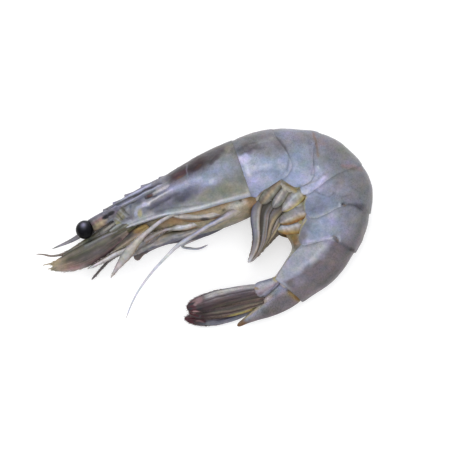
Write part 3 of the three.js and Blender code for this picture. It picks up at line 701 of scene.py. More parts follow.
class PRAWN_OT_carapace(bpy.types.Operator):
    """Shapes the carapace with its ridges and raised rim, and the toothed rostrum"""

    bl_idname = "prawn.carapace"
    bl_label = "Carapace and rostrum"

    def execute(self, context):
        sizes = context.scene.prawn_sizes
        piece, x, y = add_grid("carapace_shell", 170, 180)
        spread = 2 * y - 1
        u = 1 - (1 - np.abs(spread)) ** 1.15
        t = carapace_front(u) * (1 - x) + float(CARAPACE_END) * x
        around = np.sign(spread) * u
        flat = body_point(t, around, np.zeros(len(t)))
        lift = REAR_RISE * smooth(2.5, 5, t) + sizes.rim_height * bell(u, 0.962, 0.024)
        lift -= 0.25 * bell(u, 1.0, 0.012) + 0.2 * bell(x, 1.0, 0.006) + 0.2 * bell(u, 0.915, 0.022)
        lift += 0.06 * wobble(flat, 5, 3) + 0.025 * wobble(flat, 1.6, 4)
        for line, width, height in CARAPACE_RELIEF:
            lift += height * near_line(flat, line, width) * smooth(0.02, 0.12, u)
        points = body_point(t, around, lift)
        pigment = Pigment(len(t), "slate", 0.35)
        pigment.colour = flank_wash(t, u, CARAPACE_WASH)
        pigment.coats(flat, CARAPACE_COATS, 11)
        pigment.coat("rim", 0.85 * bell(u, 0.965, 0.04))
        pigment.coat("frost", 0.6 * bell(u, 0.955, 0.02) * (1 - smooth(3.6, 4.8, t)))
        pigment.coat("rim", 0.9 * near_line(flat, [(-26.2, 0.6), (-21.8, 2.1), (-17.0, 4.1)], 0.75))
        pigment.coat("ochre", 0.25 * bell(u, 0.93, 0.02) * smooth(3, 4.5, t))
        # painted shade along the lower edge and the rear edge, where the shell turns under
        pigment.shade(1 - 0.25 * bell(u, 1.0, 0.012) - 0.18 * bell(x, 1.0, 0.01))
        pigment.speckle = 0.34 - 0.24 * smooth(0.3, 0.7, u) + 0.08 * wobble(flat, 4, 5)
        set_points(piece, points)
        lay_pigment(piece, pigment)
        face_out(piece, points - np.array([0, 5, HEAD_PLANE]))
        thicken(piece, sizes.shell_thickness)
        finish_piece(piece, "shell", "carapace")
        self.rostrum()
        return {"FINISHED"}

    def rostrum(self):
        """The blade along the carapace's back, its teeth pointing forwards."""
        piece, share, angle = add_ball("rostrum_blade", 20, 210)
        at, ahead = route_at([(x, y, HEAD_PLANE) for x, y in ROSTRUM_RIDGE], share)
        up = np.column_stack([ahead[:, 1], -ahead[:, 0], np.zeros(len(share))])
        rise = np.full(len(share), 0.12)
        for tip, height in ROSTRUM_TEETH:
            back = at[:, 0] - tip
            behind, before = np.clip(1 - back / TOOTH_LENGTH, 0, 1) ** 1.5, np.clip(1 + back / TOOTH_FRONT, 0, 1)
            rise += height * np.where(back >= 0, behind, before)
        fall = along([0.9, 0.9, 1.0, 2.2, 1.4, 0.2], share * 5)
        ends = round_end(share, 0.03) * smooth(0, 0.02, share)
        across = np.cos(angle)
        reach = np.where(across > 0, rise + fall * 0.5, fall * 0.5) * across - 0.5 * fall
        points = at + up * (reach * ends)[:, None]
        points[:, 2] += 0.5 * np.sin(angle) * (1 - 0.35 * share) * ends
        set_points(piece, points)
        face_out(piece, points - at + up * (0.5 * fall)[:, None])
        pigment = Pigment(len(share), "lilac")
        pigment.coat("ash", smooth(0.55, 0.8, share))
        pigment.coat("back", 0.6 * smooth(0.2, 0.9, across))
        pigment.coat("rim", 0.7 * bell(across, -0.2, 0.3) * smooth(0.75, 0.9, share))
        lay_pigment(piece, pigment)
        finish_piece(piece, "shell", "carapace")


# ------------------------------------------------------------------ abdomen


ABDOMEN_WASH = [
    (5.0, ["back", "slate", "sky", "lavender", "blue"]),
    (6.5, ["back", "slate", "sky", "sky", "sky"]),
    (8.0, ["slate", "lilac", "blue", "sky", "sky"]),
    (10.0, ["slate", "slate", "slate", "lavender", "lavender"]),
    (12.0, ["back", "slate", "slate", "blue", "blue"]),
    (14.0, ["back", "back", "lilac", "sky", "slate"]),
    (15.2, ["tawny", "tawny", "tawny", "lilac", "lilac"]),
    (17.0, ["tawny", "tawny", "tawny", "lilac", "lilac"]),
]
ABDOMEN_COATS = [
    ("back", 0.8, (18.4, 26.2), (10.4, 4.3), -3),
    ("back_dark", 0.6, (13.6, 25.2), (4.2, 2.0), 18),
    ("back_dark", 0.4, (23.6, 25.8), (2.6, 1.4), -30),
    ("ink", 0.3, [(9.9, 24.5), (12.8, 26.1), (16.3, 27.0)], 0.4),
    ("ink", 0.28, [(11.2, 23.2), (14.4, 24.8), (18.6, 25.3)], 0.35),
    ("lavender", 0.95, (11.8, 20.6), (2.0, 3.0), -28),
    ("sky", 0.5, (16.3, 18.4), (5.0, 3.4), 0),
    # a painted highlight streak on the first plate's flank
    ("frost", 0.4, [(11.9, 18.4), (16.0, 19.2), (20.1, 19.6)], 0.8),
    ("frost", 0.3, (23.6, 19.8), (1.6, 1.8), 0),
    ("blue", 0.45, (23.4, 18.4), (2.6, 3.4), 0),
    ("steel", 0.25, [(13.8, 16.5), (17.9, 17.8), (22.4, 17.9)], 0.5),
    ("lavender", 0.55, (17.9, 15.2), (4.0, 1.2), 6),
    ("ink", 0.4, [(22.4, 28.8), (25.1, 25.8), (26.4, 22.2), (25.8, 18.4)], 0.4),
    ("back", 0.55, (30.7, 28.3), (4.6, 2.6), -6),
    ("back", 0.35, (42.9, 24.8), (3.6, 2.6), -30),
    ("sky", 0.4, (29.8, 17.8), (3.2, 3.6), 0),
    ("rust", 0.5, [(34.2, 30.2), (35.2, 26.4), (35.7, 22.9)], 0.5),
    ("rose", 0.3, (36.8, 27.4), (1.4, 2.4), -14),
    ("lavender", 0.7, (35.5, 17.4), (1.8, 2.6), 20),
    ("steel", 0.35, [(33.0, 24.8), (34.2, 21.0), (33.6, 16.8)], 0.45),
    ("back", 0.4, (41.6, 25.4), (5.4, 2.8), -35),
    ("olive", 0.3, (44.5, 24.2), (4.0, 2.0), -40),
    ("back", 0.35, (42.9, 15.2), (2.6, 2.4), 0),
    ("rust", 0.3, [(43.5, 19.3), (46.7, 18.9), (49.9, 18.1)], 0.5),
    ("rose", 0.45, [(43.2, 19.8), (46.7, 19.6), (49.6, 19.0)], 0.4),
    ("lavender", 0.8, (35.8, 14.4), (3.6, 1.5), 38),
    ("frost", 0.35, (36.6, 15.2), (2.0, 0.7), 38),
    ("frost", 0.8, (35.9, 19.0), (0.5, 0.6), 0),
    ("frost", 0.5, (31.0, 11.5), (2.2, 1.0), 10),
    ("frost", 0.6, [(11.0, 22.0), (12.7, 19.4), (13.8, 16.8)], 0.7),
    ("olive", 0.45, [(38.7, 17.8), (34.6, 14.6), (29.4, 13.1)], 0.4),
    ("back", 0.45, (49.3, 13.3), (3.0, 4.6), 14),
    ("lilac", 0.75, (38.4, 12.5), (2.4, 2.2), 0),
    ("lilac", 0.75, (43.5, 12.2), (2.7, 1.7), -10),
    ("steel", 0.6, [(34.6, 11.8), (36.5, 10.6), (39.4, 9.9), (41.0, 11.0)], 0.26),
    ("steel", 0.55, [(40.6, 10.9), (42.9, 9.6), (46.1, 10.4)], 0.26),
    ("steel", 0.45, (34.9, 7.0), (4.2, 2.6), 0),
    ("blue", 0.35, (33.0, 7.5), (2.2, 2.0), 0),
    ("ink", 0.45, (49.0, 6.9), (2.4, 1.2), -8),
    ("ink", 0.4, [(51.8, 5.3), (48.0, 6.9), (43.8, 7.7)], 0.55),
    ("back_dark", 0.9, (43.6, 7.5), (0.7, 0.5), 0),
    ("rust", 0.6, (44.3, 6.9), (0.55, 0.45), 0),
    ("frost", 0.6, (42.6, 7.3), (0.45, 0.9), 0),
    ("lavender", 0.4, (40.0, 2.7), (2.0, 3.2), 0),
    ("steel", 0.45, (31.4, -0.2), (1.9, 3.6), -24),
    ("blue", 0.45, (37.1, -0.8), (3.4, 1.7), 10),
    ("lavender", 0.95, [(32.6, -4.2), (36.2, -4.3), (39.4, -2.7)], 0.6),
    ("back", 0.7, (29.8, -3.9), (1.7, 3.2), -40),
    ("umber", 0.6, (28.8, -4.8), (1.1, 1.6), -50),
    ("ink", 0.9, [(40.2, -3.0), (41.8, -4.6)], 0.42),
    ("rust", 0.6, [(40.8, -2.7), (42.2, -4.4)], 0.3),
    ("frost", 0.6, (39.4, -3.4), (1.2, 0.6), 20),
    ("frost", 0.5, (42.6, -3.6), (0.5, 0.9), 0),
    ("ink", 0.5, [(41.9, -4.6), (44.5, -6.0), (47.5, -7.8)], 0.75),
    ("maroon", 0.6, (46.7, -7.4), (1.3, 0.9), -30),
    ("tawny", 0.4, (49.9, -3.4), (1.8, 4.0), -20),
    (
        "straw", 0.75,
        [(29.8, 11.2), (32.0, 9.6), (31.2, 7.5), (31.2, 4.2), (31.8, 2.6), (30.2, -0.3), (29.2, -2.7)], 0.3,
    ),
    ("back", 0.4, (51.2, 3.7), (1.8, 4.2), 0),
    ("ochre", 0.5, [(28.0, -7.5), (25.3, -11.7), (22.1, -16.0)], 0.3),
]
# The sixth plate's ridge, where its pale lower half ends.
SIXTH_RIDGE = [(40.3, -4.0), (37.9, -7.3), (35.3, -10.4), (31.6, -13.4), (27.4, -16.2), (24.0, -17.4)]
# Where the hinges of the fourth and fifth plates are pressed in.
HINGE_PITS = {4: (43.7, 7.4), 5: (41.3, -3.4)}
# A fold over the fourth plate's lobe.
LOBE_FOLD = [(34.4, 10.8), (37.0, 9.6), (40.2, 10.0)]


class PRAWN_OT_plates(bpy.types.Operator):
    """Shapes the abdominal plates, each lapping over the next, with lobed flanks"""

    bl_idname = "prawn.plates"
    bl_label = "Abdominal plates"

    def execute(self, context):
        sizes = context.scene.prawn_sizes
        for i in range(1, 7):
            piece, x, y = add_grid(f"shell_plate_{i}", 58, 130)
            reach = 1 - 0.14 * (1 - x) ** 4 if i == 6 else 1 - 0.08 * (1 - x) ** 3 - 0.11 * x**7
            if i == 1:
                reach += 0.13 * bell(x, 0.3, 0.12)
            around = (2 * y - 1) * reach
            u = np.abs(around)
            start, end = rear_edge(i - 1, around), rear_edge(i, around)
            past = FRONT_LAP + x * (end - start - FRONT_LAP)
            t = start + past
            flat = body_point(t, around, np.zeros(len(t)))
            tuck = FRONT_TUCK * (0.85 + 0.5 * smooth(0.4, 0.8, u))
            lift = REAR_RISE * smooth(0.2, 1.6, past) - tuck * (1 - smooth(0.0, 0.45, past))
            to_edge = end - t
            lift += (0.02 + 0.1 * smooth(0.4, 0.8, u)) * bell(to_edge, 0.12, 0.08) - 0.12 * bell(to_edge, 0, 0.03)
            lift += 0.12 * bell(reach - u, 0.03, 0.025) - 0.15 * bell(reach - u, 0, 0.01)
            lift += 0.06 * wobble(flat, 4.5, 20 + i) + 0.02 * wobble(flat, 1.4, 30 + i)
            if i >= 4:
                lift += 0.25 * bell(around, 0, 0.05) * smooth(0.1, 0.9, past)
            if i == 6:
                lift += 0.22 * near_line(flat, SIXTH_RIDGE, 0.7)
            if i in HINGE_PITS:
                lift -= 0.5 * in_patch(flat, HINGE_PITS[i], (0.8, 0.55))
            if i == 4:
                lift += 0.14 * near_line(flat, LOBE_FOLD, 0.5)
            points = body_point(t, around, lift)
            pigment = Pigment(len(t), "slate")
            pigment.colour = flank_wash(t, u, ABDOMEN_WASH)
            pigment.coats(flat, ABDOMEN_COATS, 40 + i)
            if i == 6:
                self.halves(pigment, flat)
            pigment.coat("rim", 0.45 * bell(to_edge, 0.06, 0.06) * smooth(0.4, 0.7, u))
            # painted shade on each plate's front strip, where it tucks under the plate before
            pigment.shade(1 - 0.15 * (1 - smooth(0.0, 0.3, past)))
            pigment.speckle = 0.36 - 0.24 * smooth(0.35, 0.75, u) + 0.08 * wobble(flat, 3, 60 + i)
            set_points(piece, points)
            lay_pigment(piece, pigment)
            middle = body_point(t, np.zeros(len(t)), np.full(len(t), -8.0))
            face_out(piece, points - middle)
            thicken(piece, sizes.shell_thickness)
            finish_piece(piece, "shell", f"plate_{i}")
        return {"FINISHED"}

    def halves(self, pigment, points):
        """The sixth plate's brown back and pale flank, which meet along its ridge, with a painted highlight beside the
        ridge.
        """
        line = np.array(SIXTH_RIDGE)
        border = np.interp(points[:, 1], line[::-1, 1], line[::-1, 0])
        back = smooth(-2.2, 2.0, points[:, 0] - border + 0.6 * wobble(points, 2.5, 71))
        pigment.coat("tawny", back)
        pigment.coat("lilac", 1 - back)
        pigment.coat("rim", 0.45 * (1 - back))
        # a painted highlight beside the ridge, on the pale side
        pigment.coat("frost", 0.3 * (1 - back) * near_line(points, [(37.2, -6.4), (34.0, -10.0), (30.0, -13.0)], 0.8))
        pigment.coat("lilac", 0.35 * back * in_patch(points, (30.0, -17.0), (3.0, 2.0), 35))
        pigment.coat("back_dark", 0.3 * back * near_line(points, [(44.6, -12.4), (37.6, -18.0)], 2.0))
        pigment.coat("steel", 0.45 * near_line(points, [(38.4, -12.4), (32.6, -17.2)], 1.1))


# ------------------------------------------------------------------ thorax and membrane


# Bulges on the thorax's lower edge, from which the legs grow.
LEG_ROOTS = [(-17.5, 0.6), (-12.4, 1.0), (-7.0, 1.6), (-1.4, 2.0), (4.4, 3.4), (10.4, 5.8)]
# the shadow rows are painted shade: under the front legs, along their roots and in the gaps between them
THORAX_COATS = [
    ("shadow", 0.5, (-8.5, -1.6), (7.5, 1.6), 12),
    ("rust", 0.6, (-9.0, 2.2), (7.0, 1.4), 10),
    ("cream", 0.6, (6.0, 6.0), (8.0, 1.6), 12),
    ("frost", 0.4, (9.6, 7.2), (3.8, 1.5), 22),
    ("bone", 0.45, (6.8, 4.2), (2.2, 1.4), 40),
    ("moss", 0.6, (4.6, -0.2), (1.4, 0.7), 25),
    ("olive", 0.4, [(0.6, -1.6), (6.4, 0.6), (12.4, 4.6)], 0.9),
    ("rust", 0.3, [(-8.0, 4.2), (0.0, 6.2), (7.0, 8.8)], 1.2),
    ("shadow", 0.8, [(-11.0, -1.9), (-6.6, -1.7), (-2.6, -1.0)], 0.9),
    *(("shadow", 0.85, gap, (0.55, 0.5)) for gap in ((1.6, 4.5), (5.6, 5.6), (11.0, 8.6), (9.2, 4.6))),
]
MEMBRANE_COATS = [
    ("rust", 0.5, (18.0, 11.2), (2.6, 1.0), 28),
    ("olive", 0.6, (24.6, 7.2), (2.6, 2.6)),
    ("straw", 0.9, [(28.0, 14.4), (31.4, 10.6), (30.9, 4.0), (28.8, -2.4)], 0.55),
    ("moss", 0.6, [(24.0, 14.8), (26.6, 13.2), (29.0, 11.4)], 1.1),
    ("ochre", 0.7, [(26.0, 13.8), (27.4, 12.4), (29.4, 11.6)], 0.5),
    ("rust", 0.9, (27.6, -3.8), (3.0, 2.4), -30),
    ("ochre", 0.8, (26.8, -3.1), (1.9, 1.3), -20),
    ("straw", 0.6, (27.2, -1.9), (1.6, 0.8), -10),
    ("umber", 0.7, (28.9, -6.4), (1.6, 1.2)),
]


class PRAWN_OT_flesh(bpy.types.Operator):
    """Shapes the body under the shell: thorax side with the leg roots, and the abdomen's membrane"""

    bl_idname = "prawn.flesh"
    bl_label = "Thorax and membrane"

    def execute(self, context):
        self.thorax()
        self.membrane()
        return {"FINISHED"}

    def skin(self, name, sides, rings, span, relief):
        """A closed skin around the body from one station to another."""
        piece, share, angle = add_ball(name, sides, rings)
        ring = np.clip((share * rings - 1) / (rings - 2), 0, 1)
        turn = (angle / (2 * math.pi)) % 1
        around = np.where(turn <= 0.5, turn * 4, (turn - 1) * 4)
        t = span[0] + ring * (span[1] - span[0])
        back, belly = np.zeros(len(t)), np.full(len(t), 2.0)
        flat = body_point(t, around, np.full(len(t), -FLESH_INSET))
        lift = relief(t, around, flat) - FLESH_INSET
        points = body_point(t, around, lift)
        poles = (share <= 0) | (share >= 1)
        middle = body_point(t, back, np.full(len(t), -6.0))
        points[poles] = (body_point(t, back, lift)[poles] + body_point(t, belly, lift)[poles]) / 2
        set_points(piece, points)
        face_out(piece, points - middle)
        return piece, t, around, points

    def thorax(self):
        """The thorax's side, pale behind and in the limbs' shadow in front."""

        def roots(t, around, flat):
            bump = 0.06 * wobble(flat, 2.5, 81)
            for place in LEG_ROOTS:
                bump += 0.7 * in_patch(flat, place, (2.4, 1.8), 20)
            return bump * smooth(0.9, 1.1, np.abs(around))

        piece, t, around, points = self.skin("thorax_side", 72, 96, (0.5, 5.2), roots)
        pigment = Pigment(len(t), "cream", 0.15)
        depth = np.abs(around)
        pigment.coat("rust", 0.55 * (1 - smooth(0.95, 1.15, depth)))
        # painted shadow of the limbs over the front of the thorax
        pigment.coat("shadow", 0.75 * (1 - smooth(1.2, 2.4, t)))
        pigment.coat("rust", 0.7 * smooth(4.6, 4.85, t))
        pigment.coat("ash", 0.55 * smooth(1.5, 1.9, depth))
        pigment.coats(points, THORAX_COATS)
        lay_pigment(piece, pigment)
        finish_piece(piece, "flesh", "thorax")

    def membrane(self):
        """The yellowish membrane between and under the plates, with the swimmerets' muscles below."""

        def folds(t, around, flat):
            below = smooth(0.8, 1.2, np.abs(around))
            roots = 2.6 * smooth(1.0, 1.5, np.abs(around)) * smooth(6.2, 7.6, t) * (1 - smooth(11.6, 13.0, t))
            slim = 0.5 * smooth(13.2, 14.2, t) + 0.4 * (1 - smooth(5.1, 5.4, t))
            return 0.15 * wobble(flat, 1.8, 82) * below + 0.12 * wobble(flat, 2.6, 83) + roots - slim

        piece, t, around, points = self.skin("abdomen_membrane", 64, 150, (4.8, 17.06), folds)
        pigment = Pigment(len(t), "cream", 0.1)
        pigment.coat("straw", 0.4 + 0.5 * wobble(points, 2.2, 84))
        pigment.coat("frost", 0.4 * smooth(0.1, 0.9, wobble(points, 1.3, 87)))
        pigment.coat("moss", 0.6 * smooth(0.2, 1.0, wobble(points, 1.6, 86)))
        pigment.coat("olive", 0.2)
        pigment.coat("frost", 0.35)
        pigment.coats(points, MEMBRANE_COATS)
        pigment.coat("tawny", 0.6 * smooth(15.4, 15.8, t) * (1 - smooth(16.6, 16.8, t)))
        pigment.coat("rust", 0.8 * smooth(16.7, 16.9, t) * smooth(0.3, 0.1, np.abs(around)))
        lay_pigment(piece, pigment)
        finish_piece(piece, "flesh", "abdomen_flesh")


# ------------------------------------------------------------------ eyes, feelers


SIDES = (("left", 1), ("right", -1))

# Washes run across a limb, from its upper edge (-1) to its lower (1).
STALK_WASH = [(-1, "steel"), (-0.5, "tawny"), (-0.15, "rose"), (0.3, "cream"), (0.6, "cream"), (1, "clay")]
STEM_WASH = [
    (-1, "shadow"), (-0.8, "moss"), (-0.55, "olive"), (-0.3, "umber"), (0.05, "rim"), (0.3, "moss"), (0.7, "ash"),
    (1, "umber"),
]
SCALE_WASH = [
    (-1, "umber"), (-0.85, "moss"), (-0.6, "clay"), (-0.35, "moss"), (-0.1, "umber"), (0.15, "clay"), (0.5, "clay"),
    (0.8, "rose"), (1, "clay"),
]
SCALE_ROOT_WASH = [
    (-1, "umber"), (-0.7, "ash"), (-0.4, "umber"), (-0.1, "olive"), (0.3, "umber"), (0.7, "moss"), (1, "umber"),
]
PALP_WASH = [(-1, "maroon"), (-0.5, "umber"), (-0.1, "clay"), (0.3, "cream"), (0.7, "clay"), (1, "rust")]

# The wet line where the stem lies against the scale.
STEM_EDGE = [(-28.5, -1.2), (-33.5, -3.4), (-38.4, -5.9)]
WHIPS = (
    (joints((-44.6, -8.4, 2.9), [(4.6, 189), (2.9, 171), (2.3, 176)]), "clay"),
    (joints((-44.2, -8.8, 2.5), [(4.6, 209), (4.2, 195)]), "cream"),
)


class PRAWN_OT_eyes(bpy.types.Operator):
    """Shapes the glossy eyes on their stalks"""

    bl_idname = "prawn.eyes"
    bl_label = "Eyes"

    def execute(self, context):
        for name, side in SIDES:
            piece, _, _ = add_ball(f"eye_cornea_{name}", 64, 40)
            points = get_points(piece)
            radius = EYE_RADIUS * (1 + 0.012 * wobble(points, 1.2, 90))
            painted_highlight_gap = np.linalg.norm(points - np.array([-0.1, 0.52, side * 0.84]), axis=1)
            points = points * radius[:, None] * np.array([1.0, 1.05, 1.0])
            points += np.array([*EYE_CENTRE, HEAD_PLANE + side * EYE_OUT])
            set_points(piece, points)
            pigment = Pigment(len(points), "ink", 0)
            pigment.shade(0.1)
            # a painted highlight on the upper side, where the back lamp would shine in the cornea
            pigment.coat("lilac", 0.7 * bell(painted_highlight_gap, 0, 0.27) + 0.08 * bell(painted_highlight_gap, 0, 0.6))
            lay_pigment(piece, pigment)
            finish_piece(piece, "eye", f"eye_{name}")
            self.stalk(name, side)
        return {"FINISHED"}

    def stalk(self, name, side):
        """The eye's jointed stalk, with the eye socket's shadow painted on it where it comes out of the orbit."""
        limb = add_limb(
            f"eye_stalk_{name}", [(-26.5, 5.6, 2.4), (-31.8, 3.3, 3.8), (-36.9, 0.2, 5.5)], [3.4, 3.9, 4.3, 4.5],
            [2.4, 3.0, 3.6, 4.0], HEAD_PLANE, side=side, sides=36, rings=60, knots=(0.5,),
            ridges=((0.1, -0.3, 0.15), (-0.1, 0.1, 0.12)),
        )
        pigment = limb_pigment(limb, 0.25, STALK_WASH)
        pigment.coat("steel", 0.8 * (1 - smooth(0.45, 0.65, limb.share)))
        # the eye socket's shadow, painted in ink
        for spot in ((-30.3, 4.5), (-31.9, 3.4)):
            pigment.coat("ink", 1 - (1 - in_patch(limb.points, spot, (1.3, 0.65), 30)) ** 3)
        pigment.coat("rim", 0.5 * bell(limb.across, 0.75, 0.15) * (1 - smooth(0.5, 0.7, limb.share)))
        pigment.coat("ink", 0.6 * smooth(0.84, 0.93, limb.share))
        pigment.shade(1 + 0.2 * wobble(limb.points, 1.0, 91))
        finish_limb(limb, pigment, "limb", f"eyestalk_{name}")


class PRAWN_OT_feelers(bpy.types.Operator):
    """Shapes the striped feeler stems with their thin ends, and the broad antennal scales"""

    bl_idname = "prawn.feelers"
    bl_label = "Feelers and scales"

    def execute(self, context):
        for name, side in SIDES:
            self.stem(name, side)
            self.scale(name, side)
        return {"FINISHED"}

    def stem(self, name, side):
        """The three-jointed stem of the antennule and its two thin ends."""
        limb = add_limb(
            f"feeler_stem_{name}", [(-24.6, 2.6, 2.8), (-31.0, -1.7, 2.9), (-38.2, -5.7, 3.1), (-46.0, -9.6, 3.3)],
            [5.6, 5.8, 4.6, 3.3, 1.6], [2.4, 2.2, 1.8, 1.0], HEAD_PLANE, side=side, sides=40, rings=110,
            knots=(0.42, 0.74), ridges=((0.16, -0.25, 0.12), (0.16, 0.45, 0.12), (-0.12, 0.1, 0.1)),
        )
        pigment = limb_pigment(limb, 0.3, STEM_WASH, 0.08, 3, 92)
        pigment.coat("rim", 0.5 * near_line(limb.points, STEM_EDGE, 0.32))
        pigment.coat("umber", 0.5 * bell(limb.share, 0.42, 0.02) + 0.5 * bell(limb.share, 0.74, 0.02))
        near = 1 - smooth(0.3, 0.5, limb.share)
        pigment.coat("bone", 0.55 * near)
        pigment.coat("ink", 0.75 * near * smooth(0.2, 0.8, streaks(limb, 9, 89)))
        pigment.coat("maroon", 0.45 * bell(limb.share, 0.9, 0.08))
        tuft = (40, 1.6, 3.0, (-1, 1), (0.88, 1.02), "clay", 93)
        finish_limb(limb, pigment, "feeler", f"antennule_{name}", tuft)
        for k, (route, colour) in enumerate(WHIPS):
            whip = add_limb(
                f"feeler_end_{k + 1}_{name}", route, [0.9, 0.6, 0.25], [0.7, 0.5, 0.25], HEAD_PLANE, side=side,
                sides=12, rings=90, knots=np.arange(0.06, 0.95, 0.06),
            )
            pigment = Pigment(len(whip.share), "ash", 0.2)
            pigment.coat(colour, 0.7)
            pigment.shade(1 - 0.12 * np.cos(whip.share * 110))
            finish_limb(whip, pigment, "feeler", f"antennule_{name}")

    def scale(self, name, side):
        """The flat blade beside the mouth: a stiff outer rib that ends in a spine, and a soft edge with bristles."""
        node_name = f"antennal_scale_{name}"
        blade = add_limb(
            f"feeler_scale_{name}",
            [(-25.0, -0.9, 4.4), (-30.6, -4.3, 4.7), (-36.7, -8.1, 4.7), (-42.7, -10.8, 4.4), (-49.0, -12.6, 4.1)],
            [3.6, 5.4, 6.4, 7.1, 6.8, 5.2, 3.0], [1.6, 1.2, 0.9, 0.7], HEAD_PLANE, side=side, sides=64, rings=130,
            blunt=0.1, ridges=((0.35, -0.62, 0.06), (0.3, 0.15, 0.05), (-0.2, -0.2, 0.2)),
        )
        share, points = blade.share, blade.points
        across = blade.across + 0.07 * wobble(points, 3.5, 94)
        pigment = Pigment(len(share), "moss", 0.25)
        pigment.wash(across, SCALE_WASH)
        lit = 0.9 - 0.38 * smooth(0.02, 0.2, share) + 0.36 * smooth(0.6, 0.9, share)
        pigment.shade(lit * (1 + 0.34 * streaks(blade, 26, 97)))
        middle = smooth(0.15, 0.3, share) * (1 - smooth(0.75, 0.95, share))
        pigment.coat("umber", 0.6 * bell(across, -0.1, 0.12) * middle)
        pigment.coat("steel", 0.5 * bell(across, -0.6, 0.15) * bell(share, 0.35, 0.2))
        pigment.coat("rim", 0.4 * near_line(points, STEM_EDGE, 0.28))
        pigment.coat("olive", 0.35 * near_line(points, [(-31.0, -3.6), (-36.5, -6.2), (-42.0, -8.4)], 0.8))
        pigment.coat("maroon", 0.85 * bell(across, 0.92, 0.16) * (1 - smooth(0.55, 0.75, share)))
        pigment.coat("steel", 0.25 * bell(across, 0.3, 0.25) * bell(share, 0.45, 0.2))
        pigment.coat("ink", 0.6 * in_patch(points, (-27.4, -3.9), (1.0, 0.8)))
        pigment.coat("rose", 0.3 * smooth(0.55, 0.8, share) * smooth(-0.3, 0.4, across))
        pigment.coat("bone", 0.35 * smooth(0.5, 0.7, share) * smooth(0.6, 0.95, across))
        pigment.coat("cream", 0.7 * smooth(0.78, 0.95, share))
        pigment.coat("maroon", 0.6 * in_patch(points, (-46.0, -9.2), (1.6, 0.6), 25))
        self.palp(name, side)
        edge = (120, 1.0, 2.6, (1,), (0.6, 1.02), "bone", 95)
        tip = (70, 2.2, 4.0, (-1, 1), (0.95, 1.1), "cream", 96)
        finish_limb(blade, pigment, "feeler", node_name, edge, tip)

        root = add_limb(
            f"feeler_scale_root_{name}", [(-22.6, 2.0, 3.0), (-27.2, -0.9, 4.0), (-32.4, -4.4, 4.4)],
            [4.2, 5.2, 3.4], [2.4, 2.2, 1.2], HEAD_PLANE, side=side, sides=40, rings=60, blunt=0.3,
            ridges=((0.2, -0.3, 0.1), (-0.2, 0.1, 0.1), (0.15, 0.5, 0.1)),
        )
        pigment = limb_pigment(root, 0.3, SCALE_ROOT_WASH)
        pigment.shade(1 + 0.34 * streaks(root, 18, 98))
        pigment.coat("rim", 0.4 * bell(root.across, -0.72, 0.1))
        finish_limb(root, pigment, "feeler", node_name)

        spine = add_limb(
            f"feeler_scale_spine_{name}", [(-45.0, -11.8, 4.3), (-48.0, -12.8, 4.2), (-50.6, -13.3, 4.1)],
            [1.5, 0.9, 0.2], [0.7, 0.5, 0.2], HEAD_PLANE, side=side, sides=16, rings=40,
        )
        pigment = Pigment(len(spine.share), "clay", 0.1)
        pigment.coat("cream", smooth(0.3, 1, spine.share))
        finish_limb(spine, pigment, "feeler", node_name)

    def palp(self, name, side):
        """The soft brown palp between the scale and the jaw legs."""
        limb = add_limb(
            f"feeler_palp_{name}", [(-18.2, 0.4, 4.2), (-24.0, -3.9, 4.6), (-29.6, -7.7, 4.2), (-34.2, -10.8, 3.8)],
            [2.6, 4.2, 3.8, 2.4, 1.0], [1.8, 1.6, 1.0], HEAD_PLANE, side=side, sides=36, rings=90,
            ridges=((0.2, 0.2, 0.2), (-0.2, -0.2, 0.12)),
        )
        pigment = limb_pigment(limb, 0.2, PALP_WASH)
        pigment.shade(1 + 0.25 * streaks(limb, 9, 99))
        pigment.coat("ochre", 0.9 * in_patch(limb.points, (-20.2, -0.2), (3.2, 1.2), 26))
        pigment.coat("rust", 0.7 * in_patch(limb.points, (-21.4, -1.2), (1.6, 0.7), 20))
        pigment.coat("maroon", 0.7 * smooth(0.6, 0.9, limb.share))
        pigment.coat("ink", 0.6 * in_patch(limb.points, (-24.6, -2.6), (1.0, 0.8)))
        finish_limb(limb, pigment, "feeler", f"antennal_scale_{name}")


# ------------------------------------------------------------------ legs


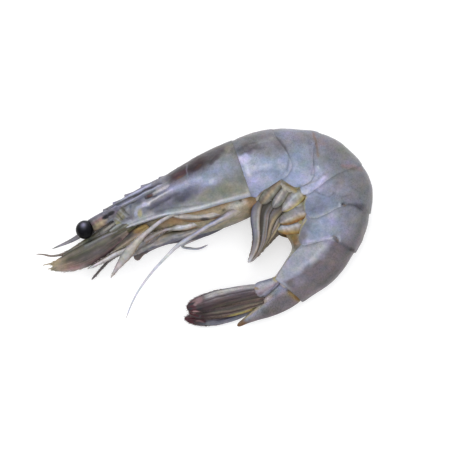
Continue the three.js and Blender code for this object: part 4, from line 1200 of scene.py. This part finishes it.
# Each left leg: route from its root, and breadths.
LEGS = {
    "maxilliped": (
        [
            (-10.5, 1.6, 1.4), (-16.9, -3.2, 2.8), (-22.7, -5.9, 4.8), (-28.5, -8.2, 5.6), (-32.9, -10.6, 5.6),
            (-37.8, -13.3, 5.4),
        ],
        [2.0, 2.2, 2.2, 1.7, 1.3, 1.1, 0.4],
    ),
    "leg_1": (
        [
            (-5.6, 6.2, 3.0), (-9.4, 4.6, 5.4), (-14.1, 2.1, 7.2), (-17.6, -0.6, 7.2), (-20.8, -3.5, 7.2),
            (-23.7, -6.9, 7.2), (-26.2, -10.1, 7.1), (-28.2, -12.8, 7.0), (-30.3, -16.1, 6.9),
        ],
        [1.0, 1.1, 1.15, 1.25, 1.5, 2.6, 3.1, 1.7, 0.4],
    ),
    "leg_2": (
        [
            (2.6, 3.2, 1.6), (-1.6, 1.8, 3.0), (-4.5, 0.9, 4.0), (-7.7, 0.2, 4.0), (-10.9, -0.3, 4.0),
            (-13.4, -0.9, 4.0), (-16.6, -2.5, 4.0), (-19.5, -4.3, 4.0), (-22.1, -6.3, 4.0), (-24.0, -8.1, 4.0),
        ],
        [1.0, 1.3, 1.9, 2.0, 1.5, 0.8, 1.2, 1.5, 1.3, 0.4],
    ),
    "leg_3": (
        [
            (2.4, 1.2, 1.0), (-2.9, -0.5, 2.0), (-6.4, -1.6, 2.4), (-10.9, -2.9, 2.4),
            (-15.4, -4.4, 2.4), (-19.2, -6.0, 2.4), (-22.4, -7.8, 2.4), (-25.0, -9.7, 2.4),
        ],
        [1.4, 1.6, 1.9, 2.3, 2.5, 2.3, 1.8, 0.5],
    ),
    "leg_4": (
        joints((10.0, 5.8, 3.4), [(6.2, 195, 2.0), (6.8, 190, 0.2), (6.0, 176), (2.8, 172)]),
        [1.8, 2.0, 1.8, 2.0, 0.7],
    ),
    "leg_5": (
        [
            (14.6, 9.0, 2.6), (11.0, 6.2, 4.6), (8.3, 4.4, 6.2), (4.8, 2.6, 6.9), (1.0, 0.6, 7.2),
            (-1.9, -1.2, 7.2), (-4.6, -2.9, 7.2), (-7.4, -4.7, 7.2), (-9.9, -6.6, 7.0), (-13.0, -9.7, 5.9),
            (-16.8, -13.8, 4.3), (-20.2, -18.2, 2.4), (-22.6, -22.0, 0.8), (-24.4, -25.8, -0.8), (-25.8, -29.6, -2.4),
        ],
        [2.6, 2.7, 1.9, 1.5, 1.4, 1.0, 0.8, 0.65, 0.55, 0.35],
    ),
}
# The right ones, where they differ.
RIGHT_LEGS = {
    **LEGS,
    "leg_1": (
        joints((-7.6, 5.2, 3.0), [(4.8, 212, 3.4), (10.4, 219, 0.8), (6.8, 211), (6.4, 210), (8.6, 227)]),
        [1.3, 1.6, 1.4, 1.2, 0.9, 0.7],
    ),
    "leg_3": (
        joints((5.6, 1.8, 1.0), [(6.6, 201, 1.4), (7.8, 195), (6.7, 200), (5.2, 206)]),
        [1.8, 2.2, 2.0, 1.8, 1.0],
    ),
    "leg_4": (
        [
            (10.9, 5.4, 3.4), (6.1, 1.2, 4.6), (-0.3, -2.0, 5.6), (-6.7, -3.7, 5.6), (-12.2, -4.3, 5.6),
            (-17.3, -5.8, 5.6), (-20.5, -7.4, 5.6), (-21.9, -8.9, 5.6), (-22.2, -10.7, 5.6),
        ],
        [1.4, 1.5, 1.6, 1.5, 1.5, 1.7, 2.0, 2.4, 2.2],
    ),
    "leg_5": (
        joints((14.6, 9.2, 4.2), [(5.0, 220, 2.6), (11.0, 219, 0.4), (10.8, 206), (3.2, 339), (2.6, 3), (2.8, 24)]),
        [2.0, 2.0, 1.9, 1.3, 0.9, 0.8, 0.5],
    ),
}
LEG_THICKNESS = [1.2, 1.2, 1.1, 0.9, 0.7, 0.5]
LEG_WASHES = {
    "maxilliped": [(-1, "shadow"), (-0.6, "umber"), (-0.3, "bone"), (0.2, "frost"), (0.8, "bone"), (1, "ash")],
    "leg_1": [(-1, "ash"), (-0.6, "bone"), (0.5, "bone"), (1, "clay")],
    "leg_2": [(-1, "clay"), (-0.5, "bone"), (0.1, "frost"), (0.6, "bone"), (1, "rust")],
    "leg_3": [(-1, "umber"), (-0.7, "cream"), (0, "ash"), (0.5, "bone"), (0.8, "ash"), (1, "steel")],
    "leg_4": [(-1, "bone"), (0, "bone"), (0.5, "clay"), (1, "rust")],
    "leg_5": [(-1, "ash"), (-0.3, "lavender"), (0.4, "bone"), (1, "steel")],
}


class PRAWN_OT_legs(bpy.types.Operator):
    """Shapes the walking legs and the jaw legs, jointed and flattened"""

    bl_idname = "prawn.legs"
    bl_label = "Legs"

    def execute(self, context):
        for name, side in SIDES:
            for leg, (route, widths) in (LEGS if side > 0 else RIGHT_LEGS).items():
                slim = leg in ("leg_1", "leg_5")
                run = np.concatenate([[0], np.cumsum(np.linalg.norm(np.diff(np.array(route), axis=0), axis=1))])
                knots = run[2 : -1 : 1 if len(route) < 9 else 2] / run[-1]
                limb = add_limb(
                    f"{leg}_{name}_shell", route, np.array(widths) * (1.0 if slim else 1.25), LEG_THICKNESS,
                    HEAD_PLANE, side=side, sides=32, rings=150, knots=() if leg == "leg_1" else knots,
                    ridges=((0.12, 0, 0.25), (-0.2, 0.5, 0.1)),
                )
                pigment = limb_pigment(limb, 0.12, LEG_WASHES[leg], 0.15, 4, 99)
                for knot in knots:
                    pigment.coat("clay", 0.25 * bell(limb.share, knot, 0.01))
                pigment.shade(1 + (0.06 if slim else 0.14) * streaks(limb, 7, 102))
                pigment.coat("cream", (0.4 if leg == "leg_2" else 0.8) * (1 - smooth(0.08, 0.24, limb.share)))
                self.marks(pigment, limb, leg, side > 0)
                pigment.shade(1 + 0.1 * wobble(limb.points, 1.6, 100))
                hairy = leg in ("maxilliped", "leg_1", "leg_2")
                tufts = [(60, 0.7, 2.0, (-1, 1), (0.5, 0.98), "bone", 101)] if hairy else []
                finish_limb(limb, pigment, "limb", f"{leg}_{name}", *tufts)
        return {"FINISHED"}

    def marks(self, pigment, limb, leg, left):
        """What only this leg has: dark or pale ends, and the shadow it lies in."""
        share, across, points = limb.share, limb.across, limb.points
        if leg == "maxilliped":
            pigment.coat("umber", 0.7 * (1 - smooth(0.35, 0.5, share)))
        elif leg == "leg_1" and left:
            pigment.coat("frost", 0.25 * bell(share, 0.36, 0.12))
        elif leg == "leg_1":
            pigment.coat("back_dark", 0.8)
        elif leg == "leg_2":
            pigment.coat("clay", 0.65 * smooth(0.5, 0.6, share))
            pigment.coat("umber", 0.5 * bell(share, 0.48, 0.05))
        elif leg == "leg_3" and left:
            # painted shade along its upper edge
            pigment.coat("shadow", 0.8 * smooth(-0.1, -0.5, across) * bell(share, 0.38, 0.15))
            pigment.coat("steel", 0.5 * in_patch(points, (-9.9, -4.0), (4.0, 0.9), 14))
        elif leg == "leg_4" and left:
            pigment.coat("ink", 0.75 * in_patch(points, (-0.3, 2.6), (1.7, 0.8)))
        elif leg == "leg_4":
            pigment.coat("steel", 0.8)
            pigment.coat("clay", 0.6 * smooth(0.86, 0.93, share))
        elif leg == "leg_5":
            if left:
                pigment.coat("bone", 0.2 * (1 - smooth(0.12, 0.24, share)))
                # painted shade along the upper edge, in ink
                pigment.coat("ink", 0.7 * smooth(-0.2, -0.7, across) * in_patch(points, (3.8, 2.8), (3.0, 2.0), 25))
            pigment.coat("frost", 0.85 * smooth(0.35, 0.6, share) * (1 if left else 0.3))


# ------------------------------------------------------------------ swimmerets


# Each left swimmeret, and mirrored the right one: base route and breadths, blade route and breadths.
SWIMMERETS = [
    (
        [(24.6, 16.4, 5.6), (20.8, 12.0, 5.8), (17.4, 7.6, 5.6)], [3.6, 4.5, 3.2],
        [
            (17.8, 9.8, 5.3), (16.1, 5.8, 5.3), (15.8, 2.2, 5.3), (16.1, -1.3, 5.3), (16.0, -4.6, 5.2),
            (15.2, -7.9, 5.2), (13.5, -11.3, 5.1),
        ],
        [2.6, 3.0, 3.1, 2.7, 2.3, 1.7, 0.4],
    ),
    (
        [(27.4, 15.4, 5.0), (24.4, 10.8, 5.1), (21.4, 6.2, 4.8)], [3.4, 4.1, 3.0],
        [
            (21.0, 8.4, 4.5), (18.6, 4.7, 4.4), (18.1, 0.9, 4.4), (17.8, -2.7, 4.4), (17.2, -5.5, 4.3),
            (15.8, -8.7, 4.3), (13.6, -11.3, 4.2),
        ],
        [3.4, 4.0, 4.0, 3.4, 2.7, 1.8, 0.4],
    ),
    (
        [(31.6, 12.0, 5.9), (28.2, 9.2, 5.6), (24.2, 5.2, 4.2)], [4.2, 4.9, 4.0, 2.0],
        [
            (24.6, 7.4, 3.8), (21.4, 4.2, 3.6), (19.8, 0.3, 3.5), (19.1, -2.7, 3.4), (18.0, -5.7, 3.4),
            (16.3, -8.4, 3.3), (13.8, -11.1, 3.3),
        ],
        [3.6, 4.2, 3.8, 3.1, 2.3, 1.5, 0.4],
    ),
    (
        [(33.3, 6.2, 5.4), (28.9, 4.4, 4.9), (23.4, 1.5, 3.5)], [4.8, 5.0, 4.7, 2.5],
        [(25.0, 4.8, 3.0), (23.0, 3.0, 2.9), (21.8, 0.6, 2.7), (20.6, -2.2, 2.6), (18.6, -5.8, 2.5), (15.8, -9.4, 2.4)],
        [3.2, 3.4, 3.0, 2.2, 1.4, 0.4],
    ),
    (
        [(33.0, 1.1, 4.6), (28.6, 0.1, 4.1), (22.8, -0.9, 2.6)], [4.4, 4.6, 4.0, 2.2],
        [(24.6, 0.4, 1.9), (22.4, -1.4, 1.8), (20.4, -3.9, 1.6), (18.4, -6.4, 1.5)],
        [3.0, 2.8, 1.8, 0.5],
    ),
]
BASE_WASHES = [
    [(-1, "moss"), (-0.6, "olive"), (-0.2, "clay"), (0.2, "cream"), (0.6, "olive"), (1, "umber")],
    [(-1, "moss"), (-0.6, "ash"), (-0.1, "bone"), (0.3, "ash"), (0.7, "olive"), (1, "umber")],
    [(-1, "moss"), (-0.6, "ash"), (-0.1, "rim"), (0.3, "bone"), (0.6, "cream"), (0.85, "straw"), (1, "rust")],
    [(-1, "moss"), (-0.6, "ash"), (-0.1, "ash"), (0.2, "bone"), (0.5, "cream"), (0.75, "rust"), (1, "rust")],
    [(-1, "umber"), (-0.8, "ash"), (-0.4, "rim"), (0.0, "bone"), (0.35, "cream"), (0.7, "ochre"), (1, "rust")],
]
BLADE_WASHES = [
    [(-1, "ink"), (-0.8, "steel"), (-0.3, "slate"), (0.1, "ash"), (0.5, "bone"), (0.8, "clay"), (1, "shadow")],
    [(-1, "shadow"), (-0.2, "shadow"), (0.0, "umber"), (0.3, "ash"), (0.6, "clay"), (0.8, "ash"), (1, "umber")],
    [(-1, "umber"), (-0.6, "clay"), (-0.2, "ash"), (0.2, "clay"), (0.6, "cream"), (1, "umber")],
    [(-1, "umber"), (-0.5, "cream"), (0.0, "bone"), (0.4, "clay"), (0.7, "cream"), (1, "umber")],
    [(-1, "umber"), (0, "clay"), (1, "umber")],
]
# The last right base lies this much lower than the left one, and shows below it.
LOW_BASE = (1.6, 1.4, 0.4)


class PRAWN_OT_swimmerets(bpy.types.Operator):
    """Shapes the swimmerets: stout bases with long ribbed blades"""

    bl_idname = "prawn.swimmerets"
    bl_label = "Swimmerets"

    def execute(self, context):
        for name, side in SIDES:
            for i, (base, base_widths, blade, blade_widths) in enumerate(SWIMMERETS):
                node_name = f"swimmeret_{i + 1}_{name}"
                plane = float(mid_plane(7 + 2 * i)[0])
                low = side < 0 and i == 4
                if low:
                    base = [(x, y - drop, z) for (x, y, z), drop in zip(base, LOW_BASE)]
                root = add_limb(
                    f"swimming_base_{i + 1}_{name}", base, base_widths, [1.3, 1.2, 0.8], plane, BLADE_PLANE,
                    side=side, sides=36, rings=60, blunt=0.16,
                    ridges=((0.2, 0, 0.25), (-0.2, -0.55, 0.12), (-0.12, 0.5, 0.1)),
                )
                pigment = limb_pigment(root, 0.2, BASE_WASHES[i], 0.1, 4, 110 + i)
                pigment.shade((1 + 0.14 * streaks(root, 7, 111)) * (1 + 0.12 * wobble(root.points, 1.4, 113)))
                pigment.coat("ochre", 0.3 * (1 - smooth(0.1, 0.4, root.share)))
                pigment.coat("umber", (0.55 if i < 2 else 0.4) * smooth(0.8, 0.98, root.share))
                if low:
                    pigment.coat("rust", 0.6)
                    pigment.coat("umber", 0.6 * (1 - smooth(24.4, 26.4, root.points[:, 0])))
                finish_limb(root, pigment, "limb", node_name)
                leaf = add_limb(
                    f"swimming_blade_{i + 1}_{name}", blade, blade_widths, [0.55, 0.5, 0.5, 0.4], BLADE_PLANE,
                    side=side, sides=48, rings=110, ridges=((0.12, 0.3, 0.12), (0.12, -0.3, 0.12)),
                )
                pigment = limb_pigment(leaf, 0.2, BLADE_WASHES[i], 0.1, 5, 115 + i)
                pigment.shade(1 + 0.14 * streaks(leaf, 8, 112 + i))
                pigment.coat("cream", 0.5 * smooth(0.6, 0.95, leaf.share) * (1 - 0.5 * bell(leaf.across, 0, 0.3)))
                pigment.coat("frost", 0.65 * smooth(0.84, 0.99, leaf.share))
                pigment.coat("umber", (0.5 if i < 3 else 0.2) * (1 - smooth(0.1, 0.28, leaf.share)))
                tuft = (60, 0.8, 3.5, (-1, 1), (0.5, 1.02), "clay", 117)
                finish_limb(leaf, pigment, "limb", node_name, tuft)
        return {"FINISHED"}


# ------------------------------------------------------------------ tail fan


# Each blade of the fan: its route, its breadths and its wash.
FAN_BLADES = {
    "outer_left": (
        [(18.6, -20.0, 2.5), (12.6, -20.9, 2.5), (5.0, -22.6, 2.4), (-1.2, -24.5, 2.2), (-6.3, -25.9, 2.0)],
        [4.0, 4.7, 5.2, 5.6, 5.2, 3.6],
        [
            (-1, "steel"), (-0.85, "bone"), (-0.6, "bone"), (-0.35, "tawny"), (-0.2, "maroon"), (-0.05, "tawny"),
            (0.2, "plum"), (0.45, "maroon"), (0.6, "plum"), (0.85, "umber"), (1, "maroon"),
        ],
    ),
    "inner_left": (
        joints((18.6, -22.9, 0.95), [(8.2, 192), (8.6, 191), (7.9, 187)]),
        [3.2, 4.6, 5.4, 5.4, 4.6, 2.8],
        [
            (-1, "umber"), (-0.6, "plum"), (-0.2, "clay"), (0.1, "plum"), (0.3, "umber"), (0.55, "clay"),
            (0.75, "maroon"), (1, "clay"),
        ],
    ),
    "inner_right": (
        joints((18.4, -23.6, -0.75), [(8.2, 194), (8.2, 190), (7.6, 186)]),
        [3.0, 4.4, 5.0, 5.0, 4.2, 2.4],
        [(-1, "plum"), (0, "maroon"), (0.45, "clay"), (0.75, "straw"), (1, "ochre")],
    ),
    "outer_right": (
        joints((16.8, -25.0, -2.2), [(9.8, 199), (7.8, 190), (6.9, 178)]),
        [2.6, 4.0, 4.6, 4.6, 3.8, 2.4],
        [(-1, "plum"), (0, "plum"), (0.5, "steel"), (0.85, "slate"), (1, "steel")],
    ),
}
# Dark red and pink blotches at the blades' tips.
FAN_SPOTS = [
    ("plum", 0.8, (-2.6, -23.4), (3.2, 2.0), 20),
    ("rose", 0.55, (-3.0, -23.8), (1.8, 1.0), 20),
    ("wine", 0.95, (-5.4, -25.2), (2.2, 2.6), 25),
    ("ink", 0.5, (-6.0, -25.0), (1.0, 1.6), 25),
    ("ink", 0.95, (-4.6, -24.6), (1.2, 0.5), 30),
    ("ink", 0.95, (-5.4, -26.4), (1.5, 0.5), 5),
    ("rose", 0.75, (-3.3, -24.6), (1.0, 0.5), 30),
    ("ink", 0.95, (-2.2, -25.9), (1.3, 0.5), 25),
    ("rose", 0.9, (-3.4, -27.2), (1.5, 0.3), 5),
    ("wine", 0.95, (-4.4, -29.0), (2.4, 1.0), 0),
    ("ink", 0.85, (-4.6, -28.4), (1.6, 0.5), 0),
    ("steel", 0.7, (-3.0, -28.9), (1.2, 0.4), 0),
    ("wine", 0.9, (-1.2, -29.6), (1.2, 0.7), 0),
    ("rose", 0.7, (-2.0, -30.1), (1.0, 0.3), 8),
    ("slate", 0.7, (1.8, -30.5), (3.0, 0.7), 5),
]
FAN_ROOT_COATS = [
    ("rim", 0.5, (18.8, -18.3), (3.0, 0.9), 18),
    ("steel", 0.6, [(22.4, -18.0), (20.8, -20.2), (18.4, -22.6)], 0.35),
    ("plum", 0.5, (17.4, -21.3), (1.1, 0.6), 30),
    ("umber", 0.7, [(15.2, -19.6), (15.8, -21.2), (17.0, -22.6)], 0.3),
    ("ochre", 0.7, (16.0, -19.5), (1.3, 0.5), -15),
    ("straw", 0.8, (22.4, -16.2), (1.2, 1.4)),
]
TELSON_WASH = [
    (-1, "moss"), (-0.7, "cream"), (-0.35, "lilac"), (0.1, "slate"), (0.6, "tawny"), (0.9, "tawny"), (1, "back_dark"),
]
TELSON_COATS = [
    ("sky", 0.9, (22.8, -19.8), (2.8, 1.5), 45),
    # a painted highlight along the telson's upper side
    ("frost", 0.8, [(22.4, -19.6), (19.6, -22.8)], 0.45),
    ("bone", 0.8, [(20.4, -21.4), (16.8, -25.4)], 0.45),
    ("rose", 0.3, (24.2, -22.4), (2.4, 1.6), 40),
    ("slate", 0.5, (27.4, -21.2), (1.4, 1.2), 40),
    ("umber", 0.8, [(26.4, -20.2), (27.8, -21.0)], 0.5),
    ("back", 0.7, (22.8, -25.0), (6.0, 2.4), 35),
    ("plum", 0.3, (22.8, -25.0), (6.0, 2.4), 35),
    ("ochre", 0.9, [(26.8, -21.0), (28.6, -22.3), (30.4, -23.4)], 0.9),
    ("rust", 0.9, (29.4, -22.6), (1.3, 0.8), -35),
]


class PRAWN_OT_tail_fan(bpy.types.Operator):
    """Shapes the telson and the closed tail fan with its ribs and dark red tips"""

    bl_idname = "prawn.tail_fan"
    bl_label = "Tail fan"

    def execute(self, context):
        self.telson()
        for name, side in SIDES:
            self.root(name, side)
        for name, (route, widths, wash) in FAN_BLADES.items():
            leaf = add_limb(
                f"fan_leaf_{name}", route, widths, [1.4, 1.2, 1.0, 0.7], TAIL_PLANE, sides=64, rings=130, blunt=0.14,
                ridges=((0.35, -0.02, 0.06), (0.3, 0.5, 0.05), (-0.25, 0.2, 0.12)),
            )
            across = leaf.across + 0.03 * wobble(leaf.points, 3, 120)
            pigment = Pigment(len(leaf.share), "plum", 0.35)
            pigment.wash(across, wash)
            pigment.shade(1 + 0.28 * streaks(leaf, 22, 119))
            if name == "inner_right":
                pigment.coat("plum", 0.8 * smooth(9.5, 5.5, leaf.points[:, 0]) * smooth(0.3, 0.6, across))
            pigment.coat("maroon", 0.85 * smooth(0.62, 0.85, leaf.share) * smooth(-0.6, 0.2, across))
            pigment.coat("wine", 0.9 * smooth(0.85, 0.93, leaf.share + 0.06 * wobble(leaf.points, 1.6, 121)))
            pigment.coats(leaf.points, FAN_SPOTS, 124)
            tuft = (220, 1.0, 2.4, (-1, 1), (0.5, 1.06), "plum", 122)
            finish_limb(leaf, pigment, "tail", f"fan_blade_{name}", tuft)
        return {"FINISHED"}

    def root(self, name, side):
        """The stout joint that carries a side's two blades."""
        limb = add_limb(
            f"fan_root_{name}", [(24.2, -16.0, 2.2), (20.2, -18.7, 2.5), (15.4, -21.0, 2.7)],
            [2.0, 3.2, 4.4, 5.1, 4.4], [1.9, 2.5, 2.3, 1.6], TAIL_PLANE, side=side, sides=40, rings=70, blunt=0.22,
            ridges=((0.14, 0.2, 0.15), (-0.12, 0.5, 0.12)),
        )
        pigment = Pigment(len(limb.share), "lilac")
        pigment.coat("bone", 0.5 * bell(limb.across, -0.2, 0.5))
        pigment.coat("rose", 0.35 * bell(limb.across, 0.3, 0.25))
        pigment.coat("umber", 0.85 * smooth(0.72, 0.95, limb.across + 0.1 * wobble(limb.points, 1, 118)))
        pigment.coat("umber", 0.5 * smooth(0.95, 0.99, limb.share + 0.01 * wobble(limb.points, 2, 118)))
        pigment.coat("straw", 0.8 * (1 - smooth(0.08, 0.2, limb.share)))
        pigment.coats(limb.points, FAN_ROOT_COATS)
        finish_limb(limb, pigment, "tail", f"fan_base_{name}")

    def telson(self):
        """The pointed last plate, with a furrow along its back and a spine at its tip."""
        limb = add_limb(
            "telson_spike",
            [
                (30.4, -17.4, 0.1), (25.0, -21.9, 0), (19.9, -25.7, 0), (15.3, -28.5, 0), (12.9, -29.9, 0),
                (10.0, -31.7, 0),
            ],
            [8.0, 9.5, 9.2, 7.9, 6.0, 3.9, 2.3, 1.2], [5.2, 5.0, 3.8, 2.6, 1.6, 0.8, 0.5], TAIL_PLANE, sides=56,
            rings=130, ridges=((-0.12, -0.55, 0.12), (0.1, -0.3, 0.1)),
        )
        pigment = limb_pigment(limb, 0.5, TELSON_WASH)
        pigment.coats(limb.points, TELSON_COATS)
        tip = smooth(0.84, 0.92, limb.share)
        pigment.coat("umber", 0.9 * tip)
        pigment.coat("rust", 0.5 * tip)
        pigment.shade(1 + 0.12 * wobble(limb.points, 2.5, 123))
        finish_limb(limb, pigment, "shell", "telson", material="tail")


# ------------------------------------------------------------------ materials and stage


# Each slot's material and what sets it apart.
MATERIALS = {
    # moulted shell over flesh: it holds a soft, broad highlight and lets fine dark dots show
    "shell": ("prawn_shell_chitin_wet", {"coat": 0.12, "ior": 1.28}),
    # thin limb shell: light goes deep into it, so that it looks pale and milky
    "limb": ("prawn_limb_chitin_thin", {"dot_mm": 0.9, "mottle": 0.14, "depth_mm": 1.2}),
    # striped feeler shell: clear under its water, so that the stripes look sharp
    "feeler": ("prawn_feeler_chitin_striped", {"dot_mm": 0.5, "mottle": 0.2}),
    # thick tail shell: brown-red dots darken it
    "tail": ("prawn_tail_chitin_dark", {"dot_mm": 0.45, "dots": "#2a1c1e"}),
    # joint skin stretched over muscle: cloudy and moist, with wide faint gloss
    "flesh": (
        "prawn_joint_membrane_moist",
        {"dot_mm": 0.8, "mottle": 0.3, "roughness": 0.42, "coat": 0.2, "depth_mm": 1.2},
    ),
    # many-faceted cornea: black, with a small tight highlight
    "eye": (
        "prawn_cornea_black_glossy",
        {"mottle": 0.05, "roughness": 0.18, "coat": 0.0, "grain_mm": 0.12, "grain": 0.002, "ior": 1.18},
    ),
}
FLOOR_SIZE = 4
FLOOR_COLOUR = "#d6d6d6"
FLOOR_GLOW = 0.48
# The lamps: name, place, size and watts.
LAMPS = (
    ("key_softbox", (-0.2, 0.45, 1.15), 1.2, 7.8),
    ("back_softbox", (-0.2, 1.1, 0.4), 0.2, 2.4),
    ("low_fill", (0.2, -0.9, 0.5), 0.8, 1.4),
)
# The camera looks straight down on this place of the body plan, from this height in metres.
VIEW_PLACE = (6.08, 0.8)
VIEW_HEIGHT = 1.01
LENS_MM = 250
SENSOR_MM = 36


class PRAWN_OT_materials(bpy.types.Operator):
    """Makes the prawn's materials"""

    bl_idname = "prawn.materials"
    bl_label = "Materials"

    def execute(self, context):
        for slot, (name, settings) in MATERIALS.items():
            context.scene[f"{slot}_material"] = wet_chitin(name, **settings)
        return {"FINISHED"}


class PRAWN_OT_stage(bpy.types.Operator):
    """Lays the pale floor and sets the soft lights and the camera"""

    bl_idname = "prawn.stage"
    bl_label = "Stage"

    def execute(self, context):
        deselect()
        bpy.ops.mesh.primitive_plane_add(size=FLOOR_SIZE)
        floor = context.object
        floor.name = "floor"
        sheet = bpy.data.materials.new("floor_opal_sheet_matt")
        sheet.use_nodes = True
        shader = sheet.node_tree.nodes["Principled BSDF"]
        shader.inputs["Base Color"].default_value = (*linear(FLOOR_COLOUR), 1)
        shader.inputs["Roughness"].default_value = 0.9
        # opal sheet, faintly lit from below: shadows on it stay pale
        shader.inputs["Emission Color"].default_value = (1, 1, 1, 1)
        shader.inputs["Emission Strength"].default_value = FLOOR_GLOW
        floor.data.materials.append(sheet)
        world = bpy.data.worlds.new("studio")
        world.use_nodes = True
        sky = world.node_tree.nodes["Background"]
        sky.inputs["Color"].default_value = (0.97, 0.98, 1.0, 1)
        sky.inputs["Strength"].default_value = 0.8
        context.scene.world = world
        for name, place, size, power in LAMPS:
            deselect()
            bpy.ops.object.light_add(type="AREA", location=place)
            lamp = context.object
            lamp.name = name
            lamp.data.size = size
            lamp.data.energy = power
            x, y, z = -np.array(place)
            lamp.rotation_euler = (math.atan2(math.hypot(x, y), -z), 0, math.atan2(y, x) - math.pi / 2)
        x, y = (ORIGIN[:2] + VIEW_PLACE) * MM
        bpy.ops.object.camera_add(location=(x, y, VIEW_HEIGHT))
        camera = context.object
        camera.data.lens = LENS_MM
        camera.data.sensor_width = SENSOR_MM
        camera.data.clip_end = 10
        context.scene.camera = camera
        context.scene.view_settings.view_transform = "Standard"
        return {"FINISHED"}


# ------------------------------------------------------------------ add-on


class PrawnSizes(bpy.types.PropertyGroup):
    """Sizes of the shell"""

    shell_thickness: bpy.props.FloatProperty(
        name="Shell thickness",
        description="Thickness of the plates and the carapace, in millimetres",
        default=0.2,
        min=0.1,
        max=0.6,
    )
    rim_height: bpy.props.FloatProperty(
        name="Rim height",
        description="How far the carapace's lower rim stands out, in millimetres",
        default=0.5,
        min=0,
        max=1,
    )


class PrawnColours(bpy.types.PropertyGroup):
    """Colours of the prawn"""

    __annotations__ = {
        key: bpy.props.FloatVectorProperty(
            name=key.replace("_", " ").capitalize(),
            description=words,
            default=linear(code),
            size=3,
            subtype="COLOR",
            min=0,
            max=1,
        )
        for key, (code, words) in PALETTE.items()
    }


class PRAWN_PT_panel(bpy.types.Panel):
    """Lists the prawn's pieces"""

    bl_idname = "PRAWN_PT_panel"
    bl_label = "Raw tiger prawn"
    bl_space_type = "VIEW_3D"
    bl_region_type = "UI"
    bl_category = "Prawn"

    def draw(self, context):
        for operator in OPERATORS:
            self.layout.operator(operator.bl_idname)
        self.layout.prop(context.scene.prawn_sizes, "shell_thickness")
        self.layout.prop(context.scene.prawn_sizes, "rim_height")
        for key in PALETTE:
            self.layout.prop(context.scene.prawn_colours, key)


OPERATORS = (
    PRAWN_OT_materials,
    PRAWN_OT_carapace,
    PRAWN_OT_plates,
    PRAWN_OT_flesh,
    PRAWN_OT_eyes,
    PRAWN_OT_feelers,
    PRAWN_OT_legs,
    PRAWN_OT_swimmerets,
    PRAWN_OT_tail_fan,
    PRAWN_OT_stage,
)
CLASSES = (PrawnSizes, PrawnColours, *OPERATORS, PRAWN_PT_panel)


def register():
    for kind in CLASSES:
        bpy.utils.register_class(kind)
    bpy.types.Scene.prawn_sizes = bpy.props.PointerProperty(type=PrawnSizes)
    bpy.types.Scene.prawn_colours = bpy.props.PointerProperty(type=PrawnColours)


def unregister():
    del bpy.types.Scene.prawn_colours
    del bpy.types.Scene.prawn_sizes
    for kind in reversed(CLASSES):
        bpy.utils.unregister_class(kind)


def main():
    register()
    for operator in OPERATORS:
        family, name = operator.bl_idname.split(".")
        getattr(getattr(bpy.ops, family), name)()


if __name__ == "__main__":
    main()
